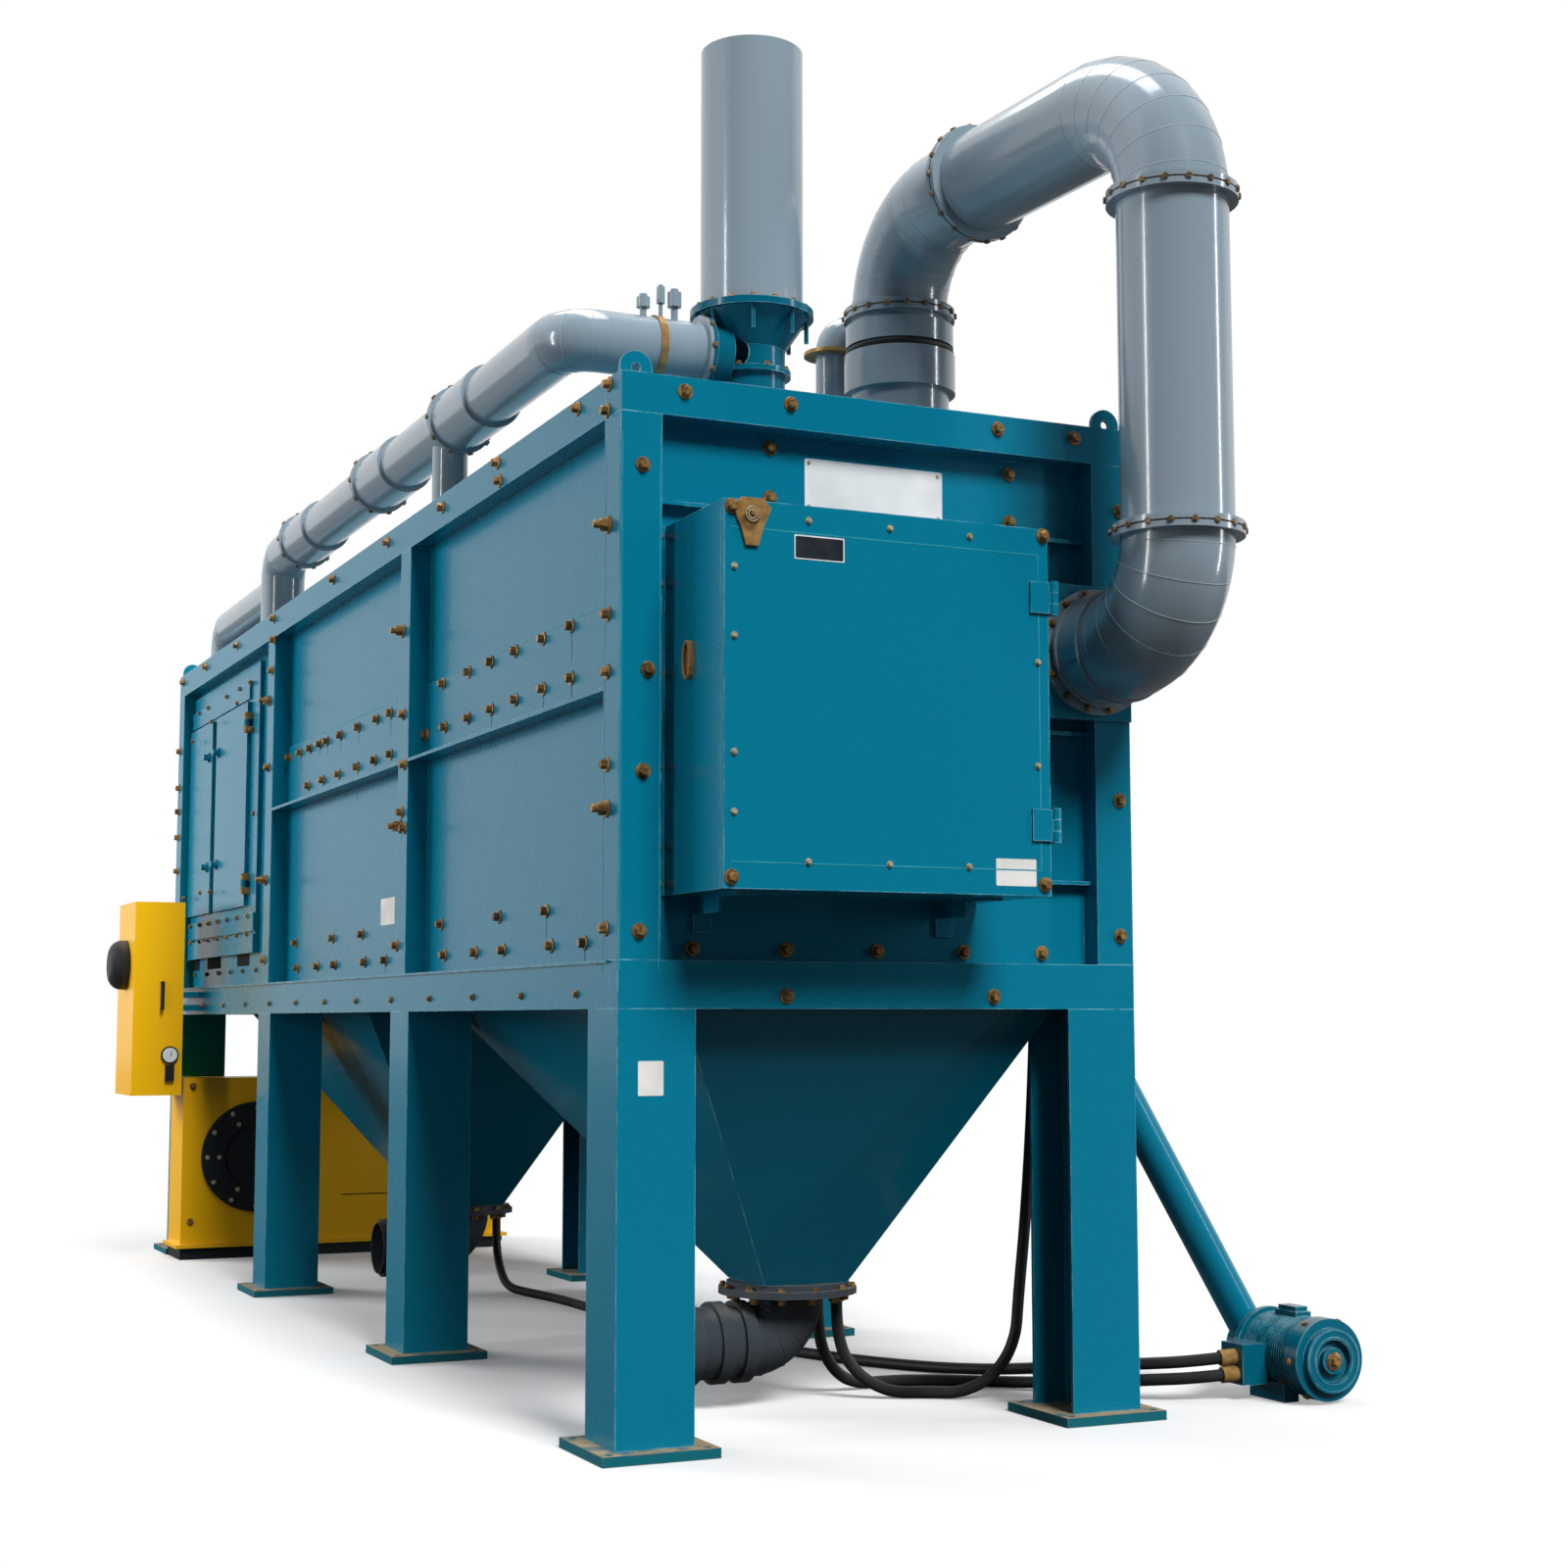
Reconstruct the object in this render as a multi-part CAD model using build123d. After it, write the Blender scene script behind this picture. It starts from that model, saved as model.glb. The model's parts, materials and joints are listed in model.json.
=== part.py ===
from build123d import *
import math
import os

# Mechanical dust collector: a three-bay steel housing on legs, with dust hoppers below, an inlet duct
# that climbs over the roof edge, an outlet stack, a roof manifold, a fan and a discharge screw motor.
# Millimetres. While it is drawn, X runs right, Y runs back and Z runs up, and the origin is on the
# floor under the front left corner of the housing. The last step moves it under the middle.

# Housing and bays
BAY_LENGTH = 2350.0
BAY_COUNT = 3
HOUSING_WIDTH = 1800.0
WALL_HEIGHT = 1657.0
TOP_BEAM_HEIGHT = 124.0
POST_WIDTH = 135.0
POST_WALL = 8.0
PANEL_RECESS = 80.0
SHEET = 6.0
ROOF_INSET = 30.0
ROOF_SEAM = 6.0
LUG_INSET = 60.0
LUG_RADIUS = 53.0
LUG_FOOT = 14.0
LUG_THICKNESS = 14.0
LUG_EYE_RADIUS = 15.0

# Legs, feet and the ring of beams on the legs
LEG_SIZE = 250.0
LEG_WALL = 12.0
LEG_HEIGHT = 1276.0
FOOT_SIZE = 370.0
FOOT_THICKNESS = 30.0
ANCHOR_SPACING = 306.0
ANCHOR_RADIUS = 13.0
DRAIN_RADIUS = 8.0
RING_BEAM_HEIGHT = 144.0
LEDGE_REACH = 12.0
LEDGE_THICKNESS = 8.0
END_BEAM_WIDTH = 75.0
BEAM_WALL = 10.0
FLOOR_SHEET = 8.0

# Stiffeners on the side walls and flats on the front wall
SHELF_HEIGHT = 830.0
SHELF_THICKNESS = 12.0
SPLICE_HEIGHT = 235.0
SPLICE_THICKNESS = 8.0
FLAT_HEIGHTS = (260.0, 750.0, 930.0, 1390.0)
FLAT_THICKNESS = 12.0
FLAT_DEPTH = 40.0

# Inspection cabinet on the front wall and its door
CABINET_LEFT = 175.0
CABINET_WIDTH = 1085.0
CABINET_BASE = 1645.0
CABINET_HEIGHT = 1130.0
CABINET_DEPTH = 380.0
CABINET_WALL = 5.0
DOOR_THICKNESS = 24.0
DOOR_GAP = 0.5
CABINET_LIP = 30.0
CABINET_FLANGE = 38.0
CABINET_FLANGE_THICKNESS = 8.0
RING_PULL_OUT = 130.0
RING_PULL_UP = 690.0
RING_PULL_WIDTH = 62.0
RING_PULL_HEIGHT = 118.0
RING_PULL_ROD = 9.0
RING_PULL_REACH = 16.0
RING_PULL_PLATE = 5.0
LATCH_THICKNESS = 12.0
LATCH_INSET = 85.0
LATCH_BELOW_TOP = 40.0
LATCH_HALF_WIDTH = 60.0
LATCH_RISE = 45.0
LATCH_SHOULDER = 27.0
LATCH_FALL = 95.0
LATCH_HUB_RADIUS = 24.0
LATCH_PIN_RADIUS = 13.0
BRACKET_INSET = 95.0
BRACKET_WIDTH = 60.0
BRACKET_DROP = 55.0
BRACKET_SHEET = 10.0
BRACKET_REACH = 250.0

# Hinges: knuckles round a pin
KNUCKLE_RADIUS = 15.0
PIN_RADIUS = 8.0
PIN_CLEARANCE = 0.05
KNUCKLE_GAP = 0.5
HINGE_HEIGHT = 105.0
HINGE_LEAF = 85.0
HINGE_LEAF_THICKNESS = 10.0
HINGE_OFFSET = 17.0
HINGE_FROM_END = 215.0
HINGE_STAND_OFF = 4.0
HINGE_BLOCK = 70.0

# Side doors in the last bay
SIDE_DOOR_BASE = 1850.0
SIDE_DOOR_HEIGHT = 1040.0
SIDE_DOOR_INTO_BAY = 700.0
SIDE_DOOR_FROM_POST = 25.0
NEAR_LEAF_SHARE = 0.558
LEAF_GAP = 110.0
SIDE_DOOR_THICKNESS = 20.0
SIDE_DOOR_LAP = 40.0
SIDE_AXIS_OUT = 6.0
SIDE_LEAF_LAP = 60.0
SIDE_HINGE_FROM_END = 110.0
FRAME_THICKNESS = 22.0
FRAME_BASE = 1610.0
FRAME_BEFORE_DOOR = 190.0
SILL_STRIP_HEIGHT = 92.0
SILL_STRIP_GAP = 16.0
SILL_STRIP_THICKNESS = 12.0
KNOB_RADIUS = 17.0
KNOB_LENGTH = 34.0
KNOB_FLANGE_RADIUS = 27.0
KNOB_FROM_EDGE = 72.0
KNOB_HEIGHTS = (250.0, 850.0)

# Inlet duct
DUCT_RADIUS = 177.5
DUCT_WALL = 4.0
FLANGE_RADIUS = 208.0
FLANGE_THICKNESS = 21.0
SPIGOT_X = 1530.0
SPIGOT_Y = 1100.0
SPIGOT_TOP = 3890.0
DOWN_DUCT_X = 1660.0
DOWN_DUCT_OUT = 500.0
RISE_BEND_RADIUS = 350.0
RISE_CUFF = 180.0
TOP_BEND_RADIUS = 390.0
LOW_BEND_RADIUS = 310.0
STUB_BELOW_WALL_TOP = 637.0
STUB_PLATE = 12.0
STUB_PLATE_HALF = 222.0
STUB_COLLAR_STEP = 9.0
STUB_COLLAR_WIDTH = 26.0
STUB_COLLAR_OUT = 34.0
SPIGOT_STEP = 6.0
SPIGOT_LOW_BAND = (300.0, 155.0)
SPIGOT_HIGH_BAND = (125.0, 45.0)

# Outlet stack
STACK_X = 880.0
STACK_Y = 1000.0
STACK_RADIUS = 184.0
STACK_BASE_HEIGHT = 560.0
STACK_HEIGHT = 960.0
STACK_FLANGE_RADIUS = 222.0
STACK_FLANGE_THICKNESS = 26.0
DRUM_RADIUS = 119.0
DRUM_BORE = 109.0
FUNNEL_RADIUS = 200.0
FUNNEL_DEPTH = 120.0
NECK_FLANGE_RADIUS = 140.0
NECK_FLANGE_UP = 318.0
NECK_FLANGE_THICKNESS = 20.0
STACK_ARM = 200.0
PIN_COUNT = 8
PIN_RING_RADIUS = 196.0
FLANGE_PIN_RADIUS = 8.0
PIN_DROP = 84.0

# Roof manifold
MANIFOLD_RADIUS = 108.0
MANIFOLD_WALL = 4.0
MANIFOLD_X = 180.0
MANIFOLD_UP = 385.0
MANIFOLD_BEND = 120.0
MANIFOLD_FROM_LINE = 480.0
TAIL_RADIUS = 94.0
TAIL_UP = 215.0
TAIL_BEND = 125.0
TAIL_FROM_BACK = 430.0
SOCKET_RADIUS = 123.0
SOCKET_LENGTH = 400.0
COUPLING_RADIUS = 135.0
COUPLING_THICKNESS = 14.0
COUPLING_BEFORE_LINE = 110.0
COUPLING_INTO_BAY = 1080.0
BRANCH_AFTER_LINE = 25.0
BRANCH_RADIUS = 70.0
BRANCH_FLANGE_STEP = 25.0
STRAP_X = 490.0
STRAP_WIDTH = 26.0
STRAP_THICKNESS = 7.0
VALVE_CAP_SHARE = 0.6
VALVE_PLACES = ((462.0, 24.0, 72.0), (528.0, 15.0, 118.0), (580.0, 25.0, 104.0))

# Vent pipe behind the stack
RISER_X = 1420.0
RISER_Y = 1450.0
RISER_RADIUS = 62.0
RISER_BEND = 90.0
RISER_NECK = 110.0
RISER_FLANGE_UP = 580.0
RISER_FLANGE_RADIUS = 108.0
FITTING_CLEARANCE = 0.3

# Hoppers and their outlets
HOPPER_DEPTH = 900.0
HOPPER_FROM_FRONT = 100.0
HOPPER_FROM_BACK = 950.0
HOPPER_OUTLET_BACK = 650.0
HOPPER_OUTLET_SIZE = 300.0
HOPPER_WALL = 6.0
OUTLET_RADIUS = 118.0
OUTLET_WALL = 6.0
OUTLET_FLANGE_RADIUS = 232.0
OUTLET_RING_RADIUS = 205.0
OUTLET_RING_THICKNESS = 18.0
OUTLET_FLANGE_THICKNESS = 22.0
OUTLET_BEND = 152.0
OUTLET_TAIL = 262.0
OUTLET_BAND_RADIUS = 134.0
OUTLET_BAND_WIDTH = 42.0
OUTLET_BAND_PLACES = (8.0, 92.0, 200.0)

# Fan at the back and its control panel
FAN_DEPTH = 345.0
FAN_OVERHANG = 50.0
FAN_WIDTH = 1790.0
FAN_HEIGHT = 885.0
PLINTH_HEIGHT = 80.0
CASING_FOOT = 18.0
CASING_LAP = 28.0
EYE_PLACE = 690.0
EYE_RADIUS = 24.0
INLET_RADIUS = 295.0
INLET_THROAT = 175.0
INLET_HUB = 40.0
INLET_DEPTH = 30.0
INLET_HUB_STEP = 20.0
INLET_X = 345.0
INLET_HEIGHT = 540.0
PANEL_STAND_OFF = 100.0
PANEL_DEPTH = 260.0
PANEL_FROM_BACK = 850.0
PANEL_WIDTH = 500.0
PANEL_BASE = 880.0
PANEL_HEIGHT = 1020.0
PANEL_ARM_HEIGHT = 30.0
PANEL_ARM_INSET = 60.0
PANEL_ARM_UPS = (20.0, 90.0)
DOME_RADIUS = 132.0
DOME_REACH = 92.0
DOME_UP = 690.0
DIAL_RADIUS = 46.0
DIAL_DEPTH = 14.0
DIAL_PLACE = (195.0, 212.0)
SWITCH_PLACE = (195.0, 75.0)
SWITCH_SIZE = (46.0, 22.0, 86.0)
HANDLE_PLACE = (148.0, 450.0)
HANDLE_LENGTH = 150.0
HANDLE_REACH = 34.0

# Discharge screw motor and its tube
MOTOR_X = 2516.0
MOTOR_OUT = 70.0
MOTOR_RADIUS = 130.0
MOTOR_AXIS_HEIGHT = 145.0
MOTOR_LENGTH = 250.0
MOTOR_CORE_RADIUS = 122.0
FIN_PITCH = 12.5
FIN_THICKNESS = 5.0
MOTOR_FOOT = (55.0, 60.0, 30.0)
TOP_BLOCK = (62.0, 116.0, 44.0)
TOP_BLOCK_LID = (48.0, 96.0, 16.0)
BELL_STEP = 24.0
BELL_LAP = 6.0
BELL_GROOVE_RADIUS = 70.0
REAR_FLANGE_STEP = 12.0
BELL_HUB = 42.0
SCREW_RADIUS = 60.0
SCREW_ABOVE_LEG = 20.0
SCREW_OVERRUN = 120.0
SCREW_WALL = 5.0
BELL_DEPTH = 90.0
REAR_FLANGE_THICKNESS = 25.0
GEAR_RADIUS = 85.0
GEAR_DEPTH = 120.0
TERMINAL_BOX_HEIGHTS = (52.0, 186.0)
TERMINAL_BOX_REACH = 92.0
TERMINAL_BOX_SINK = 8.0
TERMINAL_BOX_BACK = (200.0, 320.0)

# Hoses from the motor and the housing to the hopper outlets, as route points along their middle
HOSE_RADIUS = 20.0
GLAND_RADIUS = 27.0
GLAND_LENGTH = 35.0
GLAND_RISE = 38.0
REAR_ROUTE_START = 2600.0
REAR_ROUTE_END = 4400.0
HOSE_ROUTES = {
    "hose_motor_front": (
        (2243, 180, 84), (2135, 199, 78), (2037, 268, 70), (1940, 383, 56), (1853, 525, 38), (1745, 690, 23),
        (1545, 862, 20.5), (1382, 928, 20.5), (1227.3, 909.6, 20.5), (1121.2, 871.8, 85.4),
        (1060, 850, 198), (1060, 850, 328)),
    "hose_housing_front": (
        (1722, 500, 1266), (1712, 501, 1010), (1680, 503, 600), (1650, 506, 340), (1640, 509, 198),
        (1580, 533, 85.4), (1477, 576.5, 20.5), (1366, 651, 20.5), (1250.5, 695.3, 20.5),
        (1142.4, 726.8, 85.4), (1080, 745, 198), (1080, 745, 328)),
    "hose_motor_rear": (
        (2243, 190, 139), (2135, 213, 131), (2041, 287, 121), (1949, 405, 108), (1879, 537, 88),
        (1830, 689, 66), (1795, 835, 46), (1755, 970, 30), (1650, 1150, 20.5), (1490, 1420, 20.5),
        (1365, 1780, 20.5),
        (1255, 2250, 20.5), (1195, 2750, 20.5), (1150, 3270, 20.5), (1142, 3720, 20.5), (1088, 4040, 20.5),
        (1081, 4262.5, 20.5), (1079, 4375, 85.4), (1078, 4440, 198), (1078, 4440, 328)),
}

# Levels and stations that follow from the sizes above
LEG_TOP = FOOT_THICKNESS + LEG_HEIGHT
WALL_BASE = LEG_TOP + RING_BEAM_HEIGHT
WALL_TOP = WALL_BASE + WALL_HEIGHT
BEAM_TOP = WALL_TOP + TOP_BEAM_HEIGHT
ROOF_TOP = BEAM_TOP + SHEET
HOUSING_LENGTH = BAY_LENGTH * BAY_COUNT
LAST_BAY = HOUSING_LENGTH - BAY_LENGTH
HOPPER_LENGTH = BAY_LENGTH
HOPPER_STARTS = (HOPPER_FROM_FRONT, HOUSING_LENGTH - HOPPER_FROM_BACK - HOPPER_LENGTH)
CABINET_FRONT = -CABINET_DEPTH
CABINET_RIGHT = CABINET_LEFT + CABINET_WIDTH
DOWN_DUCT_Y = -DOWN_DUCT_OUT
STUB_HEIGHT = WALL_TOP - STUB_BELOW_WALL_TOP
RUN_HEIGHT = SPIGOT_TOP + RISE_BEND_RADIUS
DOWN_TOP = RUN_HEIGHT - TOP_BEND_RADIUS
DOWN_BASE = STUB_HEIGHT + LOW_BEND_RADIUS
STACK_BASE_TOP = ROOF_TOP + STACK_BASE_HEIGHT
MANIFOLD_HEIGHT = ROOF_TOP + MANIFOLD_UP
COUPLING_PLACES = (BAY_LENGTH - COUPLING_BEFORE_LINE, BAY_LENGTH + COUPLING_INTO_BAY,
                   LAST_BAY + COUPLING_BEFORE_LINE)
BRANCH_PLACES = (BAY_LENGTH + BRANCH_AFTER_LINE,)
RISER_FLANGE_HEIGHT = ROOF_TOP + RISER_FLANGE_UP
RISER_TOP = RISER_FLANGE_HEIGHT + RISER_NECK
SIDE_DOOR_FRONT = LAST_BAY + SIDE_DOOR_INTO_BAY
SIDE_DOOR_BACK = HOUSING_LENGTH - POST_WIDTH - SIDE_DOOR_FROM_POST
LEAVES_WIDTH = SIDE_DOOR_BACK - SIDE_DOOR_FRONT - LEAF_GAP
NEAR_LEAF_BACK = SIDE_DOOR_FRONT + NEAR_LEAF_SHARE * LEAVES_WIDTH
FAR_LEAF_FRONT = NEAR_LEAF_BACK + LEAF_GAP
SIDE_HINGE_Y = SIDE_DOOR_FRONT - HINGE_OFFSET
FAN_BACK = HOUSING_LENGTH - LEG_SIZE / 2 - FOOT_SIZE / 2
FAN_FRONT = FAN_BACK - FAN_DEPTH
FAN_LEFT = -FAN_OVERHANG
PANEL_LEFT = -PANEL_STAND_OFF - PANEL_DEPTH
PANEL_FRONT = HOUSING_LENGTH - PANEL_FROM_BACK
MOTOR_FRONT = -MOTOR_OUT
REAR_OUTLET_Y = HOPPER_STARTS[1] + HOPPER_OUTLET_BACK

rigid = {}
hoses = {}


def span(x, y, z):
    """A block between two values on each axis."""
    size = (x[1] - x[0], y[1] - y[0], z[1] - z[0])
    middle = ((x[0] + x[1]) / 2, (y[0] + y[1]) / 2, (z[0] + z[1]) / 2)
    return Pos(*middle) * Box(*size)


def rod(start, direction, length, radius, bore=0.0):
    """A round bar, or a tube where a bore is given, from a point along a direction."""
    plane = Plane(origin=start, z_dir=direction)
    face = Circle(radius)
    if bore:
        face = face - Circle(bore)
    return extrude(plane * face, amount=length)


def moved(point, direction, length):
    """The point reached from another along a direction of unit length."""
    return tuple(point[i] + direction[i] * length for i in range(3))


def leg_stations():
    """The front edge of each leg: flush at both ends, centred on the lines between bays."""
    stations = [0.0]
    for line in range(1, BAY_COUNT):
        stations.append(line * BAY_LENGTH - LEG_SIZE / 2)
    stations.append(HOUSING_LENGTH - LEG_SIZE)
    return stations


def post_stations():
    """The front edge of each wall post, set out as the legs are."""
    stations = [0.0]
    for line in range(1, BAY_COUNT):
        stations.append(line * BAY_LENGTH - POST_WIDTH / 2)
    stations.append(HOUSING_LENGTH - POST_WIDTH)
    return stations


def box_leg(front):
    """A closed box section with its left face flush with the housing."""
    outer = span((0, LEG_SIZE), (front, front + LEG_SIZE), (FOOT_THICKNESS, LEG_TOP))
    inner = span((LEG_WALL, LEG_SIZE - LEG_WALL), (front + LEG_WALL, front + LEG_SIZE - LEG_WALL),
                 (FOOT_THICKNESS, LEG_TOP))
    return outer - inner


def channel_leg(front):
    """An H section with its flanges to front and back."""
    left = HOUSING_WIDTH - LEG_SIZE
    middle = left + LEG_SIZE / 2
    heights = (FOOT_THICKNESS, LEG_TOP)
    back = front + LEG_SIZE
    leg = span((left, HOUSING_WIDTH), (front, front + LEG_WALL), heights)
    leg += span((left, HOUSING_WIDTH), (back - LEG_WALL, back), heights)
    leg += span((middle - LEG_WALL / 2, middle + LEG_WALL / 2), (front, back), heights)
    return leg


def base_plates():
    """One plate with four anchor holes under each leg."""
    plates = []
    half = LEG_SIZE / 2
    for front in leg_stations():
        for left in (0.0, HOUSING_WIDTH - LEG_SIZE):
            plate = Box(FOOT_SIZE, FOOT_SIZE, FOOT_THICKNESS)
            for place in GridLocations(ANCHOR_SPACING, ANCHOR_SPACING, 2, 2):
                plate -= place * Cylinder(ANCHOR_RADIUS, 2 * FOOT_THICKNESS)
            plates.append(Pos(left + half, front + half, FOOT_THICKNESS / 2) * plate)
    return plates


def legs_and_feet():
    rigid["base_plates"] = base_plates()
    rigid["legs_left"] = [box_leg(front) for front in leg_stations()]
    rigid["legs_right"] = [channel_leg(front) for front in leg_stations()]


def hollow_beam(x, y, z, wall, along):
    """A rectangular tube between the given values, open at its two ends along one axis."""
    ranges = {"x": x, "y": y, "z": z}
    inner = {}
    for axis, limits in ranges.items():
        if axis == along:
            inner[axis] = limits
        else:
            inner[axis] = (limits[0] + wall, limits[1] - wall)
    return span(x, y, z) - span(inner["x"], inner["y"], inner["z"])


def capped_beam(y, z, wall):
    """A cross beam as wide as the housing, closed at both ends, with a drain hole under its middle."""
    inner = span((wall, HOUSING_WIDTH - wall), (y[0] + wall, y[1] - wall), (z[0] + wall, z[1] - wall))
    drain = rod((HOUSING_WIDTH / 2, (y[0] + y[1]) / 2, z[0]), (0, 0, 1), wall, DRAIN_RADIUS)
    return span((0, HOUSING_WIDTH), y, z) - inner - drain


def ring_of_beams():
    """The beams that stand on the legs and carry the housing."""
    heights = (LEG_TOP, WALL_BASE)
    rigid["ring_beam_ends"] = [
        capped_beam((front, front + END_BEAM_WIDTH), heights, BEAM_WALL)
        for front in (0.0, HOUSING_LENGTH - END_BEAM_WIDTH)]
    depth = (END_BEAM_WIDTH, HOUSING_LENGTH - END_BEAM_WIDTH)
    sides = []
    for left, ledge in ((0.0, (-LEDGE_REACH, 0.0)),
                        (HOUSING_WIDTH - LEG_SIZE, (HOUSING_WIDTH, HOUSING_WIDTH + LEDGE_REACH))):
        beam = hollow_beam((left, left + LEG_SIZE), depth, heights, BEAM_WALL, "y")
        sides.append(beam + span(ledge, depth, (WALL_BASE - LEDGE_THICKNESS, WALL_BASE)))
    rigid["ring_beam_sides"] = sides


def hopper_opening(start):
    """The hopper's clear rectangle in X and in Y, between the side beams."""
    x = (LEG_SIZE + HOPPER_WALL, HOUSING_WIDTH - LEG_SIZE - HOPPER_WALL)
    y = (start + HOPPER_WALL, start + HOPPER_LENGTH - HOPPER_WALL)
    return x, y


def floor_plate():
    """The plate under the housing, cut through over each hopper."""
    top = WALL_BASE
    inside_x = (LEG_SIZE, HOUSING_WIDTH - LEG_SIZE)
    inside_y = (END_BEAM_WIDTH, HOUSING_LENGTH - END_BEAM_WIDTH)
    plate = span(inside_x, inside_y, (top - FLOOR_SHEET, top))
    for start in HOPPER_STARTS:
        x, y = hopper_opening(start)
        plate -= span(x, y, (top - 2 * FLOOR_SHEET, top + FLOOR_SHEET))
    rigid["floor_plate"] = [plate]


def pyramid(x, y, outlet_x, outlet_y, half, top, bottom):
    """A four-sided taper from a rectangle at the top to a square outlet."""
    mouth = Rectangle(x[1] - x[0], y[1] - y[0])
    upper = Plane.XY.offset(top) * Pos((x[0] + x[1]) / 2, (y[0] + y[1]) / 2) * mouth
    lower = Plane.XY.offset(bottom) * Pos(outlet_x, outlet_y) * Rectangle(2 * half, 2 * half)
    return loft([lower, upper])


def hopper(start):
    """A hollow pyramid hung from the floor plate by a short collar, with its outlet well forward."""
    x = (LEG_SIZE, HOUSING_WIDTH - LEG_SIZE)
    y = (start, start + HOPPER_LENGTH)
    clear_x, clear_y = hopper_opening(start)
    outlet_x = HOUSING_WIDTH / 2
    outlet_y = start + HOPPER_OUTLET_BACK
    half = HOPPER_OUTLET_SIZE / 2
    bottom = LEG_TOP - HOPPER_DEPTH
    collar_top = WALL_BASE - FLOOR_SHEET
    body = pyramid(x, y, outlet_x, outlet_y, half, LEG_TOP, bottom)
    body += span(x, y, (LEG_TOP, collar_top))
    body -= pyramid(clear_x, clear_y, outlet_x, outlet_y, half - HOPPER_WALL, LEG_TOP, bottom)
    body -= span(clear_x, clear_y, (LEG_TOP, collar_top))
    return body


def bend(start, into, out_of, radius, tube_radius, bore, lead=0.0, tail=0.0):
    """A round pipe bend between two directions at right angles.

    It is drawn upright, turning towards X, and then set down at its start. The lead is straight pipe
    before the bend's start, and the tail is straight pipe after its end.
    """
    half = radius * math.sqrt(0.5)
    path = ThreePointArc((0, 0, 0), (radius - half, 0, half), (radius, 0, radius))
    if lead:
        path = Line((0, 0, -lead), (0, 0, 0)) + path
    if tail:
        path = path + Line((radius, 0, radius), (radius + tail, 0, radius))
    ring = Plane(origin=(0, 0, -lead)) * (Circle(tube_radius) - Circle(bore))
    pipe = sweep(ring, path=path)
    return Plane(origin=start, x_dir=out_of, z_dir=into) * pipe


def pipe_flange(centre, direction, thickness, radius, bore):
    """A flat ring that starts at a point and grows along a direction."""
    return rod(centre, direction, thickness, radius, bore)


def duct_run_direction():
    """The level direction of the run from over the spigot to over the down duct."""
    across = DOWN_DUCT_X - SPIGOT_X
    along = DOWN_DUCT_Y - SPIGOT_Y
    length = math.hypot(across, along)
    return (across / length, along / length, 0.0), length


def spigot():
    """The roof collar of the inlet duct with its two thick bands and top flange."""
    bore = DUCT_RADIUS - DUCT_WALL
    base = (SPIGOT_X, SPIGOT_Y)
    levels = [
        (ROOF_TOP, ROOF_TOP + FLANGE_THICKNESS, FLANGE_RADIUS),
        (ROOF_TOP + FLANGE_THICKNESS, SPIGOT_TOP - FLANGE_THICKNESS, DUCT_RADIUS + SPIGOT_STEP),
        (SPIGOT_TOP - SPIGOT_LOW_BAND[0], SPIGOT_TOP - SPIGOT_LOW_BAND[1], FLANGE_RADIUS),
        (SPIGOT_TOP - SPIGOT_HIGH_BAND[0], SPIGOT_TOP - SPIGOT_HIGH_BAND[1], FLANGE_RADIUS - SPIGOT_STEP),
        (SPIGOT_TOP - FLANGE_THICKNESS, SPIGOT_TOP, FLANGE_RADIUS),
    ]
    body = None
    for low, high, radius in levels:
        disc = rod((*base, low), (0, 0, 1), high - low, radius)
        body = disc if body is None else body + disc
    return body - rod((*base, ROOF_TOP), (0, 0, 1), SPIGOT_TOP - ROOF_TOP, bore)


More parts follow.
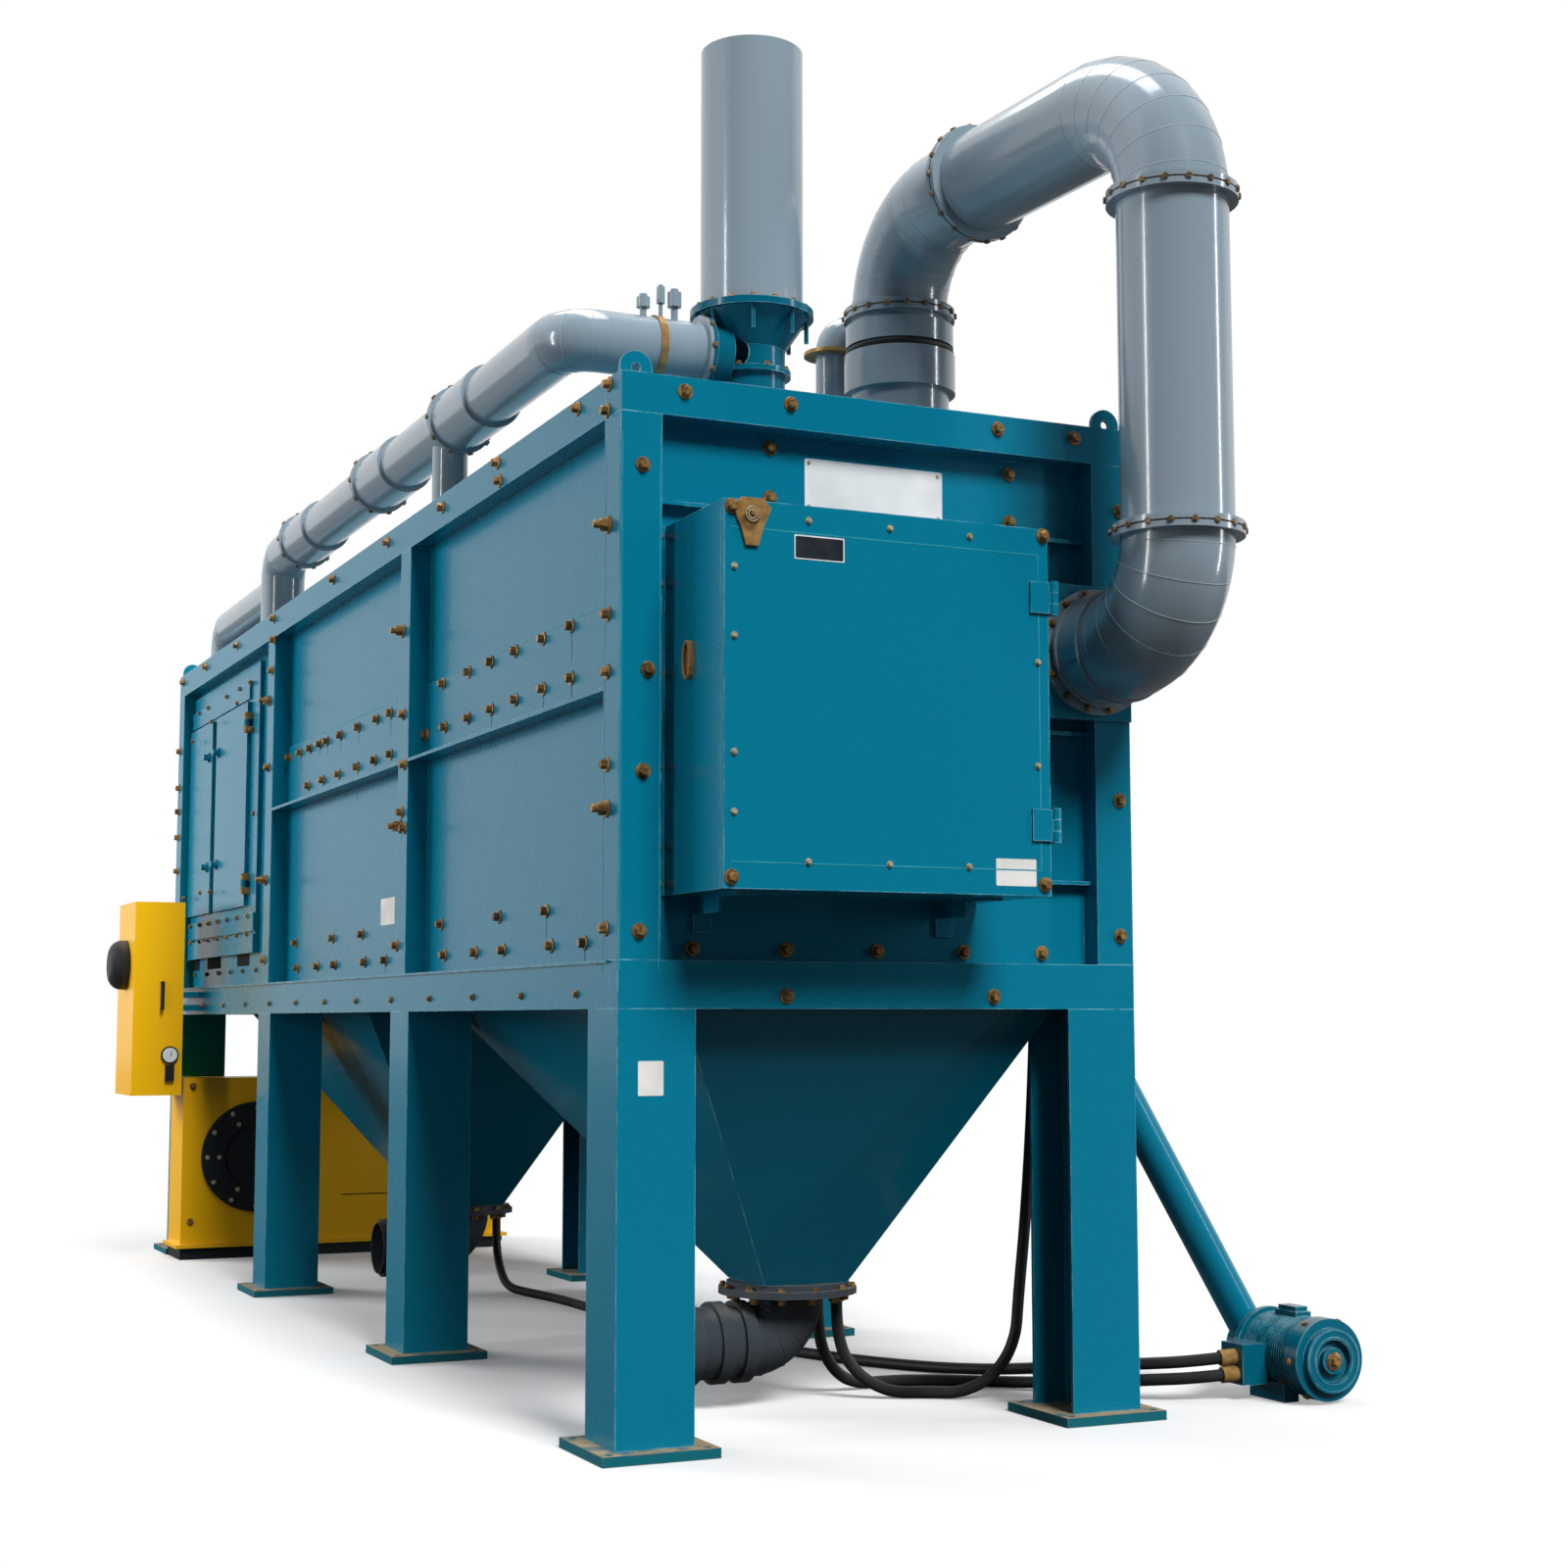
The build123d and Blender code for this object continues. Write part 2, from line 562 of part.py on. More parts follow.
def inlet_duct():
    bore = DUCT_RADIUS - DUCT_WALL
    grip = DUCT_RADIUS - DUCT_WALL / 2
    up = (0, 0, 1)
    down = (0, 0, -1)
    back = (0, 1, 0)
    level, length = duct_run_direction()
    reverse = tuple(-part for part in level)
    rigid["duct_spigot"] = [spigot()]

    rise_start = (SPIGOT_X, SPIGOT_Y, SPIGOT_TOP)
    rise = bend(rise_start, up, level, RISE_BEND_RADIUS, DUCT_RADIUS, bore, tail=RISE_CUFF)
    rise += pipe_flange(rise_start, up, FLANGE_THICKNESS, FLANGE_RADIUS, grip)
    rise_end = moved((SPIGOT_X, SPIGOT_Y, RUN_HEIGHT), level, RISE_BEND_RADIUS)
    ring_at = moved(rise_end, level, RISE_CUFF)
    rise += pipe_flange(ring_at, reverse, FLANGE_THICKNESS, FLANGE_RADIUS, grip)
    rigid["duct_rise_bend"] = [rise]

    run_length = length - RISE_BEND_RADIUS - RISE_CUFF - TOP_BEND_RADIUS
    top_start = moved(ring_at, level, run_length)
    run = bend(top_start, level, down, TOP_BEND_RADIUS, DUCT_RADIUS, bore, lead=run_length)
    run += pipe_flange(ring_at, level, FLANGE_THICKNESS, FLANGE_RADIUS, grip)
    top_end = (DOWN_DUCT_X, DOWN_DUCT_Y, DOWN_TOP)
    run += pipe_flange(top_end, up, FLANGE_THICKNESS, FLANGE_RADIUS, grip)
    rigid["duct_top_bend"] = [run]

    fall = rod((DOWN_DUCT_X, DOWN_DUCT_Y, DOWN_BASE), up, DOWN_TOP - DOWN_BASE, DUCT_RADIUS, bore)
    fall += pipe_flange(top_end, down, FLANGE_THICKNESS, FLANGE_RADIUS, grip)
    low_start = (DOWN_DUCT_X, DOWN_DUCT_Y, DOWN_BASE)
    fall += pipe_flange(low_start, up, FLANGE_THICKNESS, FLANGE_RADIUS, grip)
    rigid["duct_down"] = [fall]

    stub_length = -(DOWN_DUCT_Y + LOW_BEND_RADIUS) - STUB_PLATE
    low = bend(low_start, down, back, LOW_BEND_RADIUS, DUCT_RADIUS, bore, tail=stub_length)
    low += pipe_flange(low_start, down, FLANGE_THICKNESS, FLANGE_RADIUS, grip)
    seat = (DOWN_DUCT_X, -STUB_PLATE, STUB_HEIGHT)
    low += pipe_flange(seat, (0, -1, 0), FLANGE_THICKNESS, FLANGE_RADIUS, grip)
    collar = DUCT_RADIUS + STUB_COLLAR_STEP
    mouth = (DOWN_DUCT_X, DOWN_DUCT_Y + LOW_BEND_RADIUS, STUB_HEIGHT)
    low += rod(mouth, back, STUB_COLLAR_WIDTH, collar, grip)
    low += rod(moved(seat, (0, -1, 0), FLANGE_THICKNESS + STUB_COLLAR_OUT), back, STUB_COLLAR_WIDTH / 2,
               collar, grip)
    rigid["duct_low_bend"] = [low]

    plate_x = (DOWN_DUCT_X - STUB_PLATE_HALF, HOUSING_WIDTH)
    plate_z = (STUB_HEIGHT - STUB_PLATE_HALF, STUB_HEIGHT + STUB_PLATE_HALF)
    frame = span(plate_x, (-STUB_PLATE, 0), plate_z)
    frame += span((plate_x[0], HOUSING_WIDTH - POST_WIDTH), (0, PANEL_RECESS), plate_z)
    frame -= duct_passage()
    rigid["duct_inlet_frame"] = [frame]


def duct_passage():
    """The way through the front wall: the duct's bore as far as the corner post, which stays whole."""
    bore = DUCT_RADIUS - DUCT_WALL
    post_face = HOUSING_WIDTH - POST_WIDTH
    way = rod((DOWN_DUCT_X, -2 * STUB_PLATE, STUB_HEIGHT), (0, 1, 0), POST_WIDTH + 4 * STUB_PLATE, bore)
    clear = span((post_face - 2 * bore, post_face), (-3 * STUB_PLATE, POST_WIDTH + 3 * STUB_PLATE),
                 (STUB_HEIGHT - 2 * bore, STUB_HEIGHT + 2 * bore))
    return way & clear


def posts():
    """Hollow posts: four at the corners and one on each line between bays on both sides."""
    heights = (WALL_BASE, WALL_TOP)
    rigid["wall_posts"] = [
        hollow_beam((left, left + POST_WIDTH), (front, front + POST_WIDTH), heights, POST_WALL, "z")
        for front in post_stations() for left in (0.0, HOUSING_WIDTH - POST_WIDTH)]


def top_beams():
    heights = (WALL_TOP, BEAM_TOP)
    rigid["top_beam_ends"] = [
        capped_beam((front, front + POST_WIDTH), heights, POST_WALL)
        for front in (0.0, HOUSING_LENGTH - POST_WIDTH)]
    depth = (POST_WIDTH, HOUSING_LENGTH - POST_WIDTH)
    rigid["top_beam_sides"] = [
        hollow_beam((left, left + POST_WIDTH), depth, heights, POST_WALL, "y")
        for left in (0.0, HOUSING_WIDTH - POST_WIDTH)]


def bay_gaps():
    """The clear length between posts in each bay."""
    stations = post_stations()
    return [(stations[i] + POST_WIDTH, stations[i + 1]) for i in range(BAY_COUNT)]


def side_door_hole():
    """The doorway in the left wall of the last bay, a little smaller than its two leaves."""
    return span((0, POST_WIDTH),
                (SIDE_DOOR_FRONT + SIDE_DOOR_LAP, NEAR_LEAF_BACK - SIDE_DOOR_LAP),
                (SIDE_DOOR_BASE + SIDE_DOOR_LAP, SIDE_DOOR_BASE + SIDE_DOOR_HEIGHT - SIDE_DOOR_LAP))


def wall_panels():
    """Recessed sheets between the posts, with a bolted splice and a shelf angle along the sides."""
    heights = (WALL_BASE, WALL_TOP)
    left_sheet = (PANEL_RECESS, PANEL_RECESS + SHEET)
    right_sheet = (HOUSING_WIDTH - PANEL_RECESS - SHEET, HOUSING_WIDTH - PANEL_RECESS)
    left = []
    right = []
    shelves = []
    splice_low = WALL_BASE + SHELF_HEIGHT
    for index, gap in enumerate(bay_gaps()):
        last = index == BAY_COUNT - 1
        sheet = span(left_sheet, gap, heights)
        left.append(sheet - side_door_hole() if last else sheet)
        right.append(span(right_sheet, gap, heights))
        right_face = HOUSING_WIDTH - PANEL_RECESS
        sides = [(right_face, right_face + SPLICE_THICKNESS, HOUSING_WIDTH)]
        if not last:
            sides.append((PANEL_RECESS, PANEL_RECESS - SPLICE_THICKNESS, 0.0))
        for face, splice_face, edge in sides:
            strip = span(sorted((face, splice_face)), gap, (splice_low, splice_low + SPLICE_HEIGHT))
            shelf = span(sorted((face, edge)), gap, (splice_low - SHELF_THICKNESS, splice_low))
            shelves.append(strip + shelf)
    rigid["left_wall_panels"] = left
    rigid["right_wall_panels"] = right
    rigid["side_wall_stiffeners"] = shelves

    inside = (POST_WIDTH, HOUSING_WIDTH - POST_WIDTH)
    front = span(inside, (PANEL_RECESS, PANEL_RECESS + SHEET), heights)
    back = HOUSING_LENGTH - PANEL_RECESS
    rigid["end_wall_panels"] = [front - duct_passage(), span(inside, (back - SHEET, back), heights)]


def front_flats():
    """Level flats across the recess of the front wall, kept clear of the cabinet and the duct frame."""
    flats = []
    frame_left = DOWN_DUCT_X - STUB_PLATE_HALF
    frame_z = (STUB_HEIGHT - STUB_PLATE_HALF, STUB_HEIGHT + STUB_PLATE_HALF)
    for height in FLAT_HEIGHTS:
        low = WALL_BASE + height
        beside_cabinet = CABINET_BASE - FLAT_THICKNESS < low < CABINET_BASE + CABINET_HEIGHT
        beside_duct = frame_z[0] - FLAT_THICKNESS < low < frame_z[1]
        left = CABINET_RIGHT if beside_cabinet else POST_WIDTH
        right = frame_left if beside_duct else HOUSING_WIDTH - POST_WIDTH
        depth = (PANEL_RECESS - FLAT_DEPTH, PANEL_RECESS)
        flats.append(span((left, right), depth, (low, low + FLAT_THICKNESS)))
    rigid["front_wall_flats"] = flats


def roof():
    """One sheet a bay, with holes for the pipes that rise through it."""
    sheets = []
    x = (ROOF_INSET, HOUSING_WIDTH - ROOF_INSET)
    for index in range(BAY_COUNT):
        front = index * BAY_LENGTH + (ROOF_INSET if index == 0 else ROOF_SEAM / 2)
        back = (index + 1) * BAY_LENGTH - (ROOF_INSET if index == BAY_COUNT - 1 else ROOF_SEAM / 2)
        sheets.append(span(x, (front, back), (BEAM_TOP, ROOF_TOP)))
    below = BEAM_TOP - SHEET
    sheets[0] -= rod((SPIGOT_X, SPIGOT_Y, below), (0, 0, 1), 3 * SHEET, DUCT_RADIUS - DUCT_WALL)
    sheets[0] -= rod((STACK_X, STACK_Y, below), (0, 0, 1), 3 * SHEET, DRUM_BORE)
    rigid["roof_sheets"] = sheets


def lifting_lugs():
    """Rounded ears with an eye at the roof corners."""
    lugs = []
    for x in (LUG_INSET, HOUSING_WIDTH - LUG_INSET):
        for y in (ROOF_INSET, HOUSING_LENGTH - ROOF_INSET - LUG_THICKNESS):
            sides = (x - LUG_RADIUS, x + LUG_RADIUS)
            depth = (y, y + LUG_THICKNESS)
            eye = (x, y, ROOF_TOP + LUG_FOOT)
            ear = rod(eye, (0, 1, 0), LUG_THICKNESS, LUG_RADIUS)
            ear &= span(sides, depth, (ROOF_TOP, ROOF_TOP + LUG_FOOT + LUG_RADIUS))
            ear += span(sides, depth, (ROOF_TOP, ROOF_TOP + LUG_FOOT))
            lugs.append(ear - rod(eye, (0, 1, 0), LUG_THICKNESS, LUG_EYE_RADIUS))
    return lugs


def outlet_stack():
    """The open stack, and under it a flanged funnel on a narrow drum with pins round its flange."""
    up = (0, 0, 1)
    base = (STACK_X, STACK_Y)
    rigid["outlet_stack"] = [
        rod((*base, STACK_BASE_TOP), up, STACK_HEIGHT, STACK_RADIUS, STACK_RADIUS - DUCT_WALL)]
    under = STACK_BASE_TOP - STACK_FLANGE_THICKNESS
    body = rod((*base, ROOF_TOP), up, FLANGE_THICKNESS, STACK_FLANGE_RADIUS)
    body += rod((*base, ROOF_TOP), up, STACK_BASE_HEIGHT, DRUM_RADIUS)
    body += rod((*base, ROOF_TOP + NECK_FLANGE_UP), up, NECK_FLANGE_THICKNESS, NECK_FLANGE_RADIUS)
    body += rod((*base, under), up, STACK_FLANGE_THICKNESS, STACK_FLANGE_RADIUS)
    cone = Plane(origin=(*base, under - FUNNEL_DEPTH))
    body += loft([cone * Circle(DRUM_RADIUS), cone.offset(FUNNEL_DEPTH) * Circle(FUNNEL_RADIUS)])
    for place in PolarLocations(PIN_RING_RADIUS, PIN_COUNT, start_angle=180 / PIN_COUNT):
        foot = place.position + Vector(*base, under - PIN_DROP)
        body += rod(tuple(foot), up, PIN_DROP, FLANGE_PIN_RADIUS)
    body -= rod((*base, ROOF_TOP), up, STACK_BASE_HEIGHT, DRUM_BORE)
    rigid["stack_base"] = [body]


def coupling(y, way):
    """A flange on the manifold's side of a joint, as wide as the sockets allow."""
    grip = MANIFOLD_RADIUS - MANIFOLD_WALL / 2
    return pipe_flange((MANIFOLD_X, y, MANIFOLD_HEIGHT), way, COUPLING_THICKNESS, COUPLING_RADIUS, grip)


def socket(y):
    """The wide sleeve on the near side of a coupling."""
    grip = MANIFOLD_RADIUS - MANIFOLD_WALL / 2
    start = (MANIFOLD_X, y - SOCKET_LENGTH, MANIFOLD_HEIGHT)
    return rod(start, (0, 1, 0), SOCKET_LENGTH, SOCKET_RADIUS, grip)


def manifold():
    """The pipe that leaves the stack base, turns the corner of the roof and runs to the back."""
    bore = MANIFOLD_RADIUS - MANIFOLD_WALL
    grip = MANIFOLD_RADIUS - MANIFOLD_WALL / 2
    z = MANIFOLD_HEIGHT
    left = (-1, 0, 0)
    right = (1, 0, 0)
    back = (0, 1, 0)
    front = (0, -1, 0)
    up = (0, 0, 1)
    clear = STACK_X - STACK_ARM
    cross_length = clear - MANIFOLD_X - MANIFOLD_BEND
    corner_start = (MANIFOLD_X + MANIFOLD_BEND, STACK_Y, z)
    cross = bend(corner_start, left, back, MANIFOLD_BEND, MANIFOLD_RADIUS, bore, lead=cross_length)
    cross += pipe_flange((clear, STACK_Y, z), left, COUPLING_THICKNESS, COUPLING_RADIUS, grip)
    rigid["manifold_cross"] = [manifold_valves(cross)]

    starts = (STACK_Y + MANIFOLD_BEND,) + COUPLING_PLACES[:-1]
    for number, (start, end) in enumerate(zip(starts, COUPLING_PLACES), start=1):
        piece = rod((MANIFOLD_X, start, z), back, end - start, MANIFOLD_RADIUS, bore)
        piece += coupling(end, front) + socket(end)
        if number > 1:
            piece += coupling(start, back)
        for place in BRANCH_PLACES:
            if start < place < end:
                foot = (MANIFOLD_X, place, ROOF_TOP)
                leg = rod(foot, up, MANIFOLD_UP, BRANCH_RADIUS)
                leg += rod(foot, up, COUPLING_THICKNESS, BRANCH_RADIUS + BRANCH_FLANGE_STEP)
                piece = (piece + leg) - rod((MANIFOLD_X, start, z), back, end - start, bore)
                piece -= rod(foot, up, MANIFOLD_UP, BRANCH_RADIUS - MANIFOLD_WALL)
        rigid[f"manifold_run_{number}"] = [piece]
    rigid["manifold_end"] = [manifold_end()]

    arm = rod((clear, STACK_Y, z), right, STACK_ARM - DRUM_BORE, MANIFOLD_RADIUS, bore)
    arm += pipe_flange((clear, STACK_Y, z), right, COUPLING_THICKNESS, COUPLING_RADIUS, grip)
    drum = rod((STACK_X, STACK_Y, ROOF_TOP), up, STACK_BASE_HEIGHT, DRUM_RADIUS)
    way = rod((clear, STACK_Y, z), right, STACK_ARM, bore)
    rigid["stack_base"] = [rigid["stack_base"][0] + (arm - drum) - way]


def manifold_end():
    """The last stretch: a bend down to the roof, and a narrower tail that goes on behind it."""
    bore = MANIFOLD_RADIUS - MANIFOLD_WALL
    tail_bore = TAIL_RADIUS - MANIFOLD_WALL
    back = (0, 1, 0)
    down = (0, 0, -1)
    up = (0, 0, 1)
    last = COUPLING_PLACES[-1]
    down_y = last + MANIFOLD_FROM_LINE
    tail_y = HOUSING_LENGTH - TAIL_FROM_BACK
    tail_z = ROOF_TOP + TAIL_UP
    drop = bend((MANIFOLD_X, down_y - MANIFOLD_BEND, MANIFOLD_HEIGHT), back, down, MANIFOLD_BEND,
                MANIFOLD_RADIUS, bore, lead=down_y - MANIFOLD_BEND - last, tail=MANIFOLD_UP - MANIFOLD_BEND)
    drop += pipe_flange((MANIFOLD_X, down_y, ROOF_TOP), up, COUPLING_THICKNESS, COUPLING_RADIUS,
                        MANIFOLD_RADIUS - MANIFOLD_WALL / 2)
    length = tail_y - TAIL_BEND - down_y
    tail = bend((MANIFOLD_X, tail_y - TAIL_BEND, tail_z), back, down, TAIL_BEND, TAIL_RADIUS, tail_bore,
                lead=length, tail=TAIL_UP - TAIL_BEND)
    tail += pipe_flange((MANIFOLD_X, tail_y, ROOF_TOP), up, COUPLING_THICKNESS,
                        TAIL_RADIUS + BRANCH_FLANGE_STEP, TAIL_RADIUS - MANIFOLD_WALL / 2)
    tail -= rod((MANIFOLD_X, down_y, ROOF_TOP), up, MANIFOLD_UP, MANIFOLD_RADIUS)
    drop += coupling(last, back)
    drop -= rod((MANIFOLD_X, down_y, tail_z), back, length, tail_bore)
    return drop + tail


def hinge_pair(axis_x, axis_y, centre_z, toward_fixed, toward_moving):
    """Outer knuckles with a pin for the fixed side and a middle knuckle for the door."""
    third = HINGE_HEIGHT / 3
    low = centre_z - HINGE_HEIGHT / 2
    up = (0, 0, 1)
    fixed = rod((axis_x, axis_y, low), up, third - KNUCKLE_GAP, KNUCKLE_RADIUS)
    fixed += rod((axis_x, axis_y, low + 2 * third + KNUCKLE_GAP), up, third - KNUCKLE_GAP, KNUCKLE_RADIUS)
    for level in (low, low + 2 * third + KNUCKLE_GAP):
        fixed += toward_fixed(level, level + third - KNUCKLE_GAP)
    fixed += rod((axis_x, axis_y, low), up, HINGE_HEIGHT, PIN_RADIUS)
    moving = rod((axis_x, axis_y, low + third), up, third, KNUCKLE_RADIUS)
    moving += toward_moving(low + third, low + 2 * third)
    moving -= rod((axis_x, axis_y, low), up, HINGE_HEIGHT, PIN_RADIUS + PIN_CLEARANCE)
    return fixed, moving


def cabinet_hinge(centre, front):
    """One hinge of the cabinet: a block on the shell with outer knuckles, and a leaf on the door."""
    axis_x = CABINET_RIGHT + HINGE_OFFSET
    axis_y = CABINET_FRONT - HINGE_LEAF_THICKNESS / 2
    plate_x = (CABINET_RIGHT + HINGE_STAND_OFF, CABINET_RIGHT + HINGE_STAND_OFF + HINGE_LEAF_THICKNESS)
    leaf_y = (CABINET_FRONT - HINGE_LEAF_THICKNESS, CABINET_FRONT)
    half = HINGE_HEIGHT / 2

    def arm(low, high):
        return span(plate_x, (axis_y, front + HINGE_STAND_OFF), (low, high))

    def leaf(low, high):
        plate = span((axis_x - HINGE_LEAF, CABINET_RIGHT), leaf_y,
                     (centre - half + HINGE_STAND_OFF, centre + half - HINGE_STAND_OFF))
        return plate + span((CABINET_RIGHT - 1, axis_x), leaf_y, (low, high))

    fixed, moving = hinge_pair(axis_x, axis_y, centre, arm, leaf)
    block = span((CABINET_RIGHT, plate_x[1]), (front + HINGE_STAND_OFF, front + HINGE_BLOCK),
                 (centre - half, centre + half))
    return fixed + block, moving


def cabinet():
    """The inspection cabinet on the front wall, with a pan door hung on its right side."""
    x = (CABINET_LEFT, CABINET_RIGHT)
    z = (CABINET_BASE, CABINET_BASE + CABINET_HEIGHT)
    front = CABINET_FRONT + DOOR_THICKNESS + DOOR_GAP
    wall = CABINET_WALL
    shell = span(x, (front, PANEL_RECESS), z)
    shell -= span((x[0] + wall, x[1] - wall), (front, PANEL_RECESS), (z[0] + wall, z[1] - wall))
    lip = span(x, (front, front + wall), z)
    lip -= span((x[0] + CABINET_LIP, x[1] - CABINET_LIP), (front, front + wall),
                (z[0] + CABINET_LIP, z[1] - CABINET_LIP))
    flange = span((x[0] - CABINET_FLANGE, x[0]),
                  (PANEL_RECESS - CABINET_FLANGE_THICKNESS, PANEL_RECESS), z)
    rigid["cabinet_shell"] = [shell + lip + flange]

    door = span(x, (CABINET_FRONT, CABINET_FRONT + DOOR_THICKNESS), z)
    door -= span((x[0] + wall, x[1] - wall), (CABINET_FRONT + wall, CABINET_FRONT + DOOR_THICKNESS),
                 (z[0] + wall, z[1] - wall))
    fixed = []
    for centre in (z[0] + HINGE_FROM_END, z[1] - HINGE_FROM_END):
        block, knuckle = cabinet_hinge(centre, front)
        fixed.append(block)
        door += knuckle
    rigid["cabinet_hinges"] = fixed
    rigid["cabinet_door"] = [door]

    latch_x = x[0] + LATCH_INSET
    latch_z = z[1] - LATCH_BELOW_TOP
    plate = Plane(origin=(latch_x, CABINET_FRONT, latch_z), x_dir=(1, 0, 0), z_dir=(0, -1, 0))
    half = LATCH_HALF_WIDTH
    cut = LATCH_SHOULDER
    tip = half / 3
    outline = Polygon((-half, LATCH_RISE - cut), (cut - half, LATCH_RISE), (half - cut, LATCH_RISE),
                      (half, LATCH_RISE - cut), (half - cut, -LATCH_FALL / 2), (tip, -LATCH_FALL),
                      (-tip, -LATCH_FALL), (cut - half, -LATCH_FALL / 2), align=None)
    latch = extrude(plate * outline, amount=LATCH_THICKNESS, dir=(0, -1, 0))
    hub = (latch_x, CABINET_FRONT - LATCH_THICKNESS, latch_z)
    latch += rod(hub, (0, -1, 0), LATCH_THICKNESS, LATCH_HUB_RADIUS)
    latch += rod(hub, (0, -1, 0), 2 * LATCH_THICKNESS, LATCH_PIN_RADIUS)
    rigid["cabinet_latch"] = [latch]

    pull = (x[0], -RING_PULL_OUT, CABINET_BASE + RING_PULL_UP)
    side = Plane(origin=pull, x_dir=(0, 1, 0), z_dir=(-1, 0, 0))
    backing = Ellipse(RING_PULL_WIDTH / 2, RING_PULL_HEIGHT / 2)
    loop = backing - Ellipse(RING_PULL_WIDTH / 2 - RING_PULL_ROD, RING_PULL_HEIGHT / 2 - RING_PULL_ROD)
    rigid["cabinet_ring_pull"] = [extrude(side * backing, amount=RING_PULL_PLATE)
                                  + extrude(side * loop, amount=RING_PULL_REACH)]

    brackets = []
    for left in (CABINET_LEFT + BRACKET_INSET, CABINET_RIGHT - BRACKET_INSET - BRACKET_WIDTH):
        sides = (left, left + BRACKET_WIDTH)
        under = z[0] - BRACKET_SHEET
        shelf = span(sides, (-BRACKET_REACH, PANEL_RECESS), (under, z[0]))
        web = span((left, left + BRACKET_SHEET), (-BRACKET_REACH / 2, PANEL_RECESS),
                   (z[0] - BRACKET_DROP, under))
        foot = span(sides, (PANEL_RECESS - BRACKET_SHEET, PANEL_RECESS), (z[0] - 2 * BRACKET_DROP, under))
        brackets.append(shelf + web + foot)
    return brackets


def side_knob(x, y, z):
    """A turned knob on its round foot, out to the left."""
    knob = rod((x, y, z), (-1, 0, 0), KNOB_LENGTH, KNOB_RADIUS)
    return knob + rod((x, y, z), (-1, 0, 0), KNOB_LENGTH / 3, KNOB_FLANGE_RADIUS)


def side_doors():
    """Two tall leaves on a frame in the last bay: one hinged at the post, one held by its knobs."""
    z = (SIDE_DOOR_BASE, SIDE_DOOR_BASE + SIDE_DOOR_HEIGHT)
    frame_face = PANEL_RECESS - FRAME_THICKNESS
    strip_face = frame_face - SILL_STRIP_THICKNESS
    frame_y = (SIDE_DOOR_FRONT - FRAME_BEFORE_DOOR, SIDE_DOOR_BACK)
    frame = span((frame_face, PANEL_RECESS), frame_y, (FRAME_BASE, WALL_TOP - ROOF_INSET))
    frame -= side_door_hole()
    for strip in range(2):
        low = FRAME_BASE + strip * (SILL_STRIP_HEIGHT + SILL_STRIP_GAP)
        frame += span((strip_face, frame_face), frame_y, (low, low + SILL_STRIP_HEIGHT))
    header = z[1] + SILL_STRIP_GAP
    frame += span((strip_face, frame_face), (SIDE_DOOR_FRONT, SIDE_DOOR_BACK),
                  (header, header + SILL_STRIP_HEIGHT))
    rigid["side_door_frame"] = [frame]

    leaf_x = (frame_face - DOOR_GAP - SIDE_DOOR_THICKNESS, frame_face - DOOR_GAP)
    near = span(leaf_x, (SIDE_DOOR_FRONT, NEAR_LEAF_BACK), z)
    far = span((leaf_x[0], frame_face), (FAR_LEAF_FRONT, SIDE_DOOR_BACK), z)
    axis_x = leaf_x[0] - SIDE_AXIS_OUT
    fixed = []
    for centre in (z[0] + SIDE_HINGE_FROM_END, z[1] - SIDE_HINGE_FROM_END):
        def arm(low, high):
            depth = (SIDE_HINGE_Y - KNUCKLE_RADIUS + 1, SIDE_HINGE_Y - 2)
            return span((axis_x, frame_face), depth, (low, high))

        def leaf(low, high):
            depth = (SIDE_HINGE_Y, SIDE_DOOR_FRONT + SIDE_LEAF_LAP)
            return span((axis_x - SIDE_AXIS_OUT, leaf_x[0]), depth, (low, high))

        block, knuckle = hinge_pair(axis_x, SIDE_HINGE_Y, centre, arm, leaf)
        fixed.append(block)
        near += knuckle
    for up in KNOB_HEIGHTS:
        near += side_knob(leaf_x[0], NEAR_LEAF_BACK - KNOB_FROM_EDGE, z[0] + up)
        far += side_knob(leaf_x[0], FAR_LEAF_FRONT + KNOB_FROM_EDGE, z[0] + up)
    rigid["side_door_hinges"] = fixed
    rigid["side_door_near"] = [near]
    rigid["side_door_far"] = [far]


def hopper_outlets():
    """A pair of round flanges on each hopper, a bend that turns left and its band couplings."""
    flanges = []
    bends = []
    x = HOUSING_WIDTH / 2
    bottom = LEG_TOP - HOPPER_DEPTH
    down = (0, 0, -1)
    left = (-1, 0, 0)
    for start in HOPPER_STARTS:
        y = start + HOPPER_OUTLET_BACK
        bore = OUTLET_RADIUS - OUTLET_WALL
        grip = OUTLET_RADIUS - OUTLET_WALL / 2
        ring = rod((x, y, bottom), down, OUTLET_RING_THICKNESS, OUTLET_RING_RADIUS, bore)
        top = (x, y, bottom - OUTLET_RING_THICKNESS - OUTLET_FLANGE_THICKNESS)
        ring += rod(top, (0, 0, 1), OUTLET_FLANGE_THICKNESS, OUTLET_FLANGE_RADIUS, bore)
        flanges.append(ring)
        elbow = bend(top, down, left, OUTLET_BEND, OUTLET_RADIUS, bore, tail=OUTLET_TAIL)
        end = (x - OUTLET_BEND, y, top[2] - OUTLET_BEND)
        for offset in OUTLET_BAND_PLACES:
            elbow += rod(moved(end, left, offset), left, OUTLET_BAND_WIDTH, OUTLET_BAND_RADIUS, grip)
        bends.append(elbow)
    rigid["hopper_outlet_flanges"] = flanges
    rigid["hopper_outlet_bends"] = bends


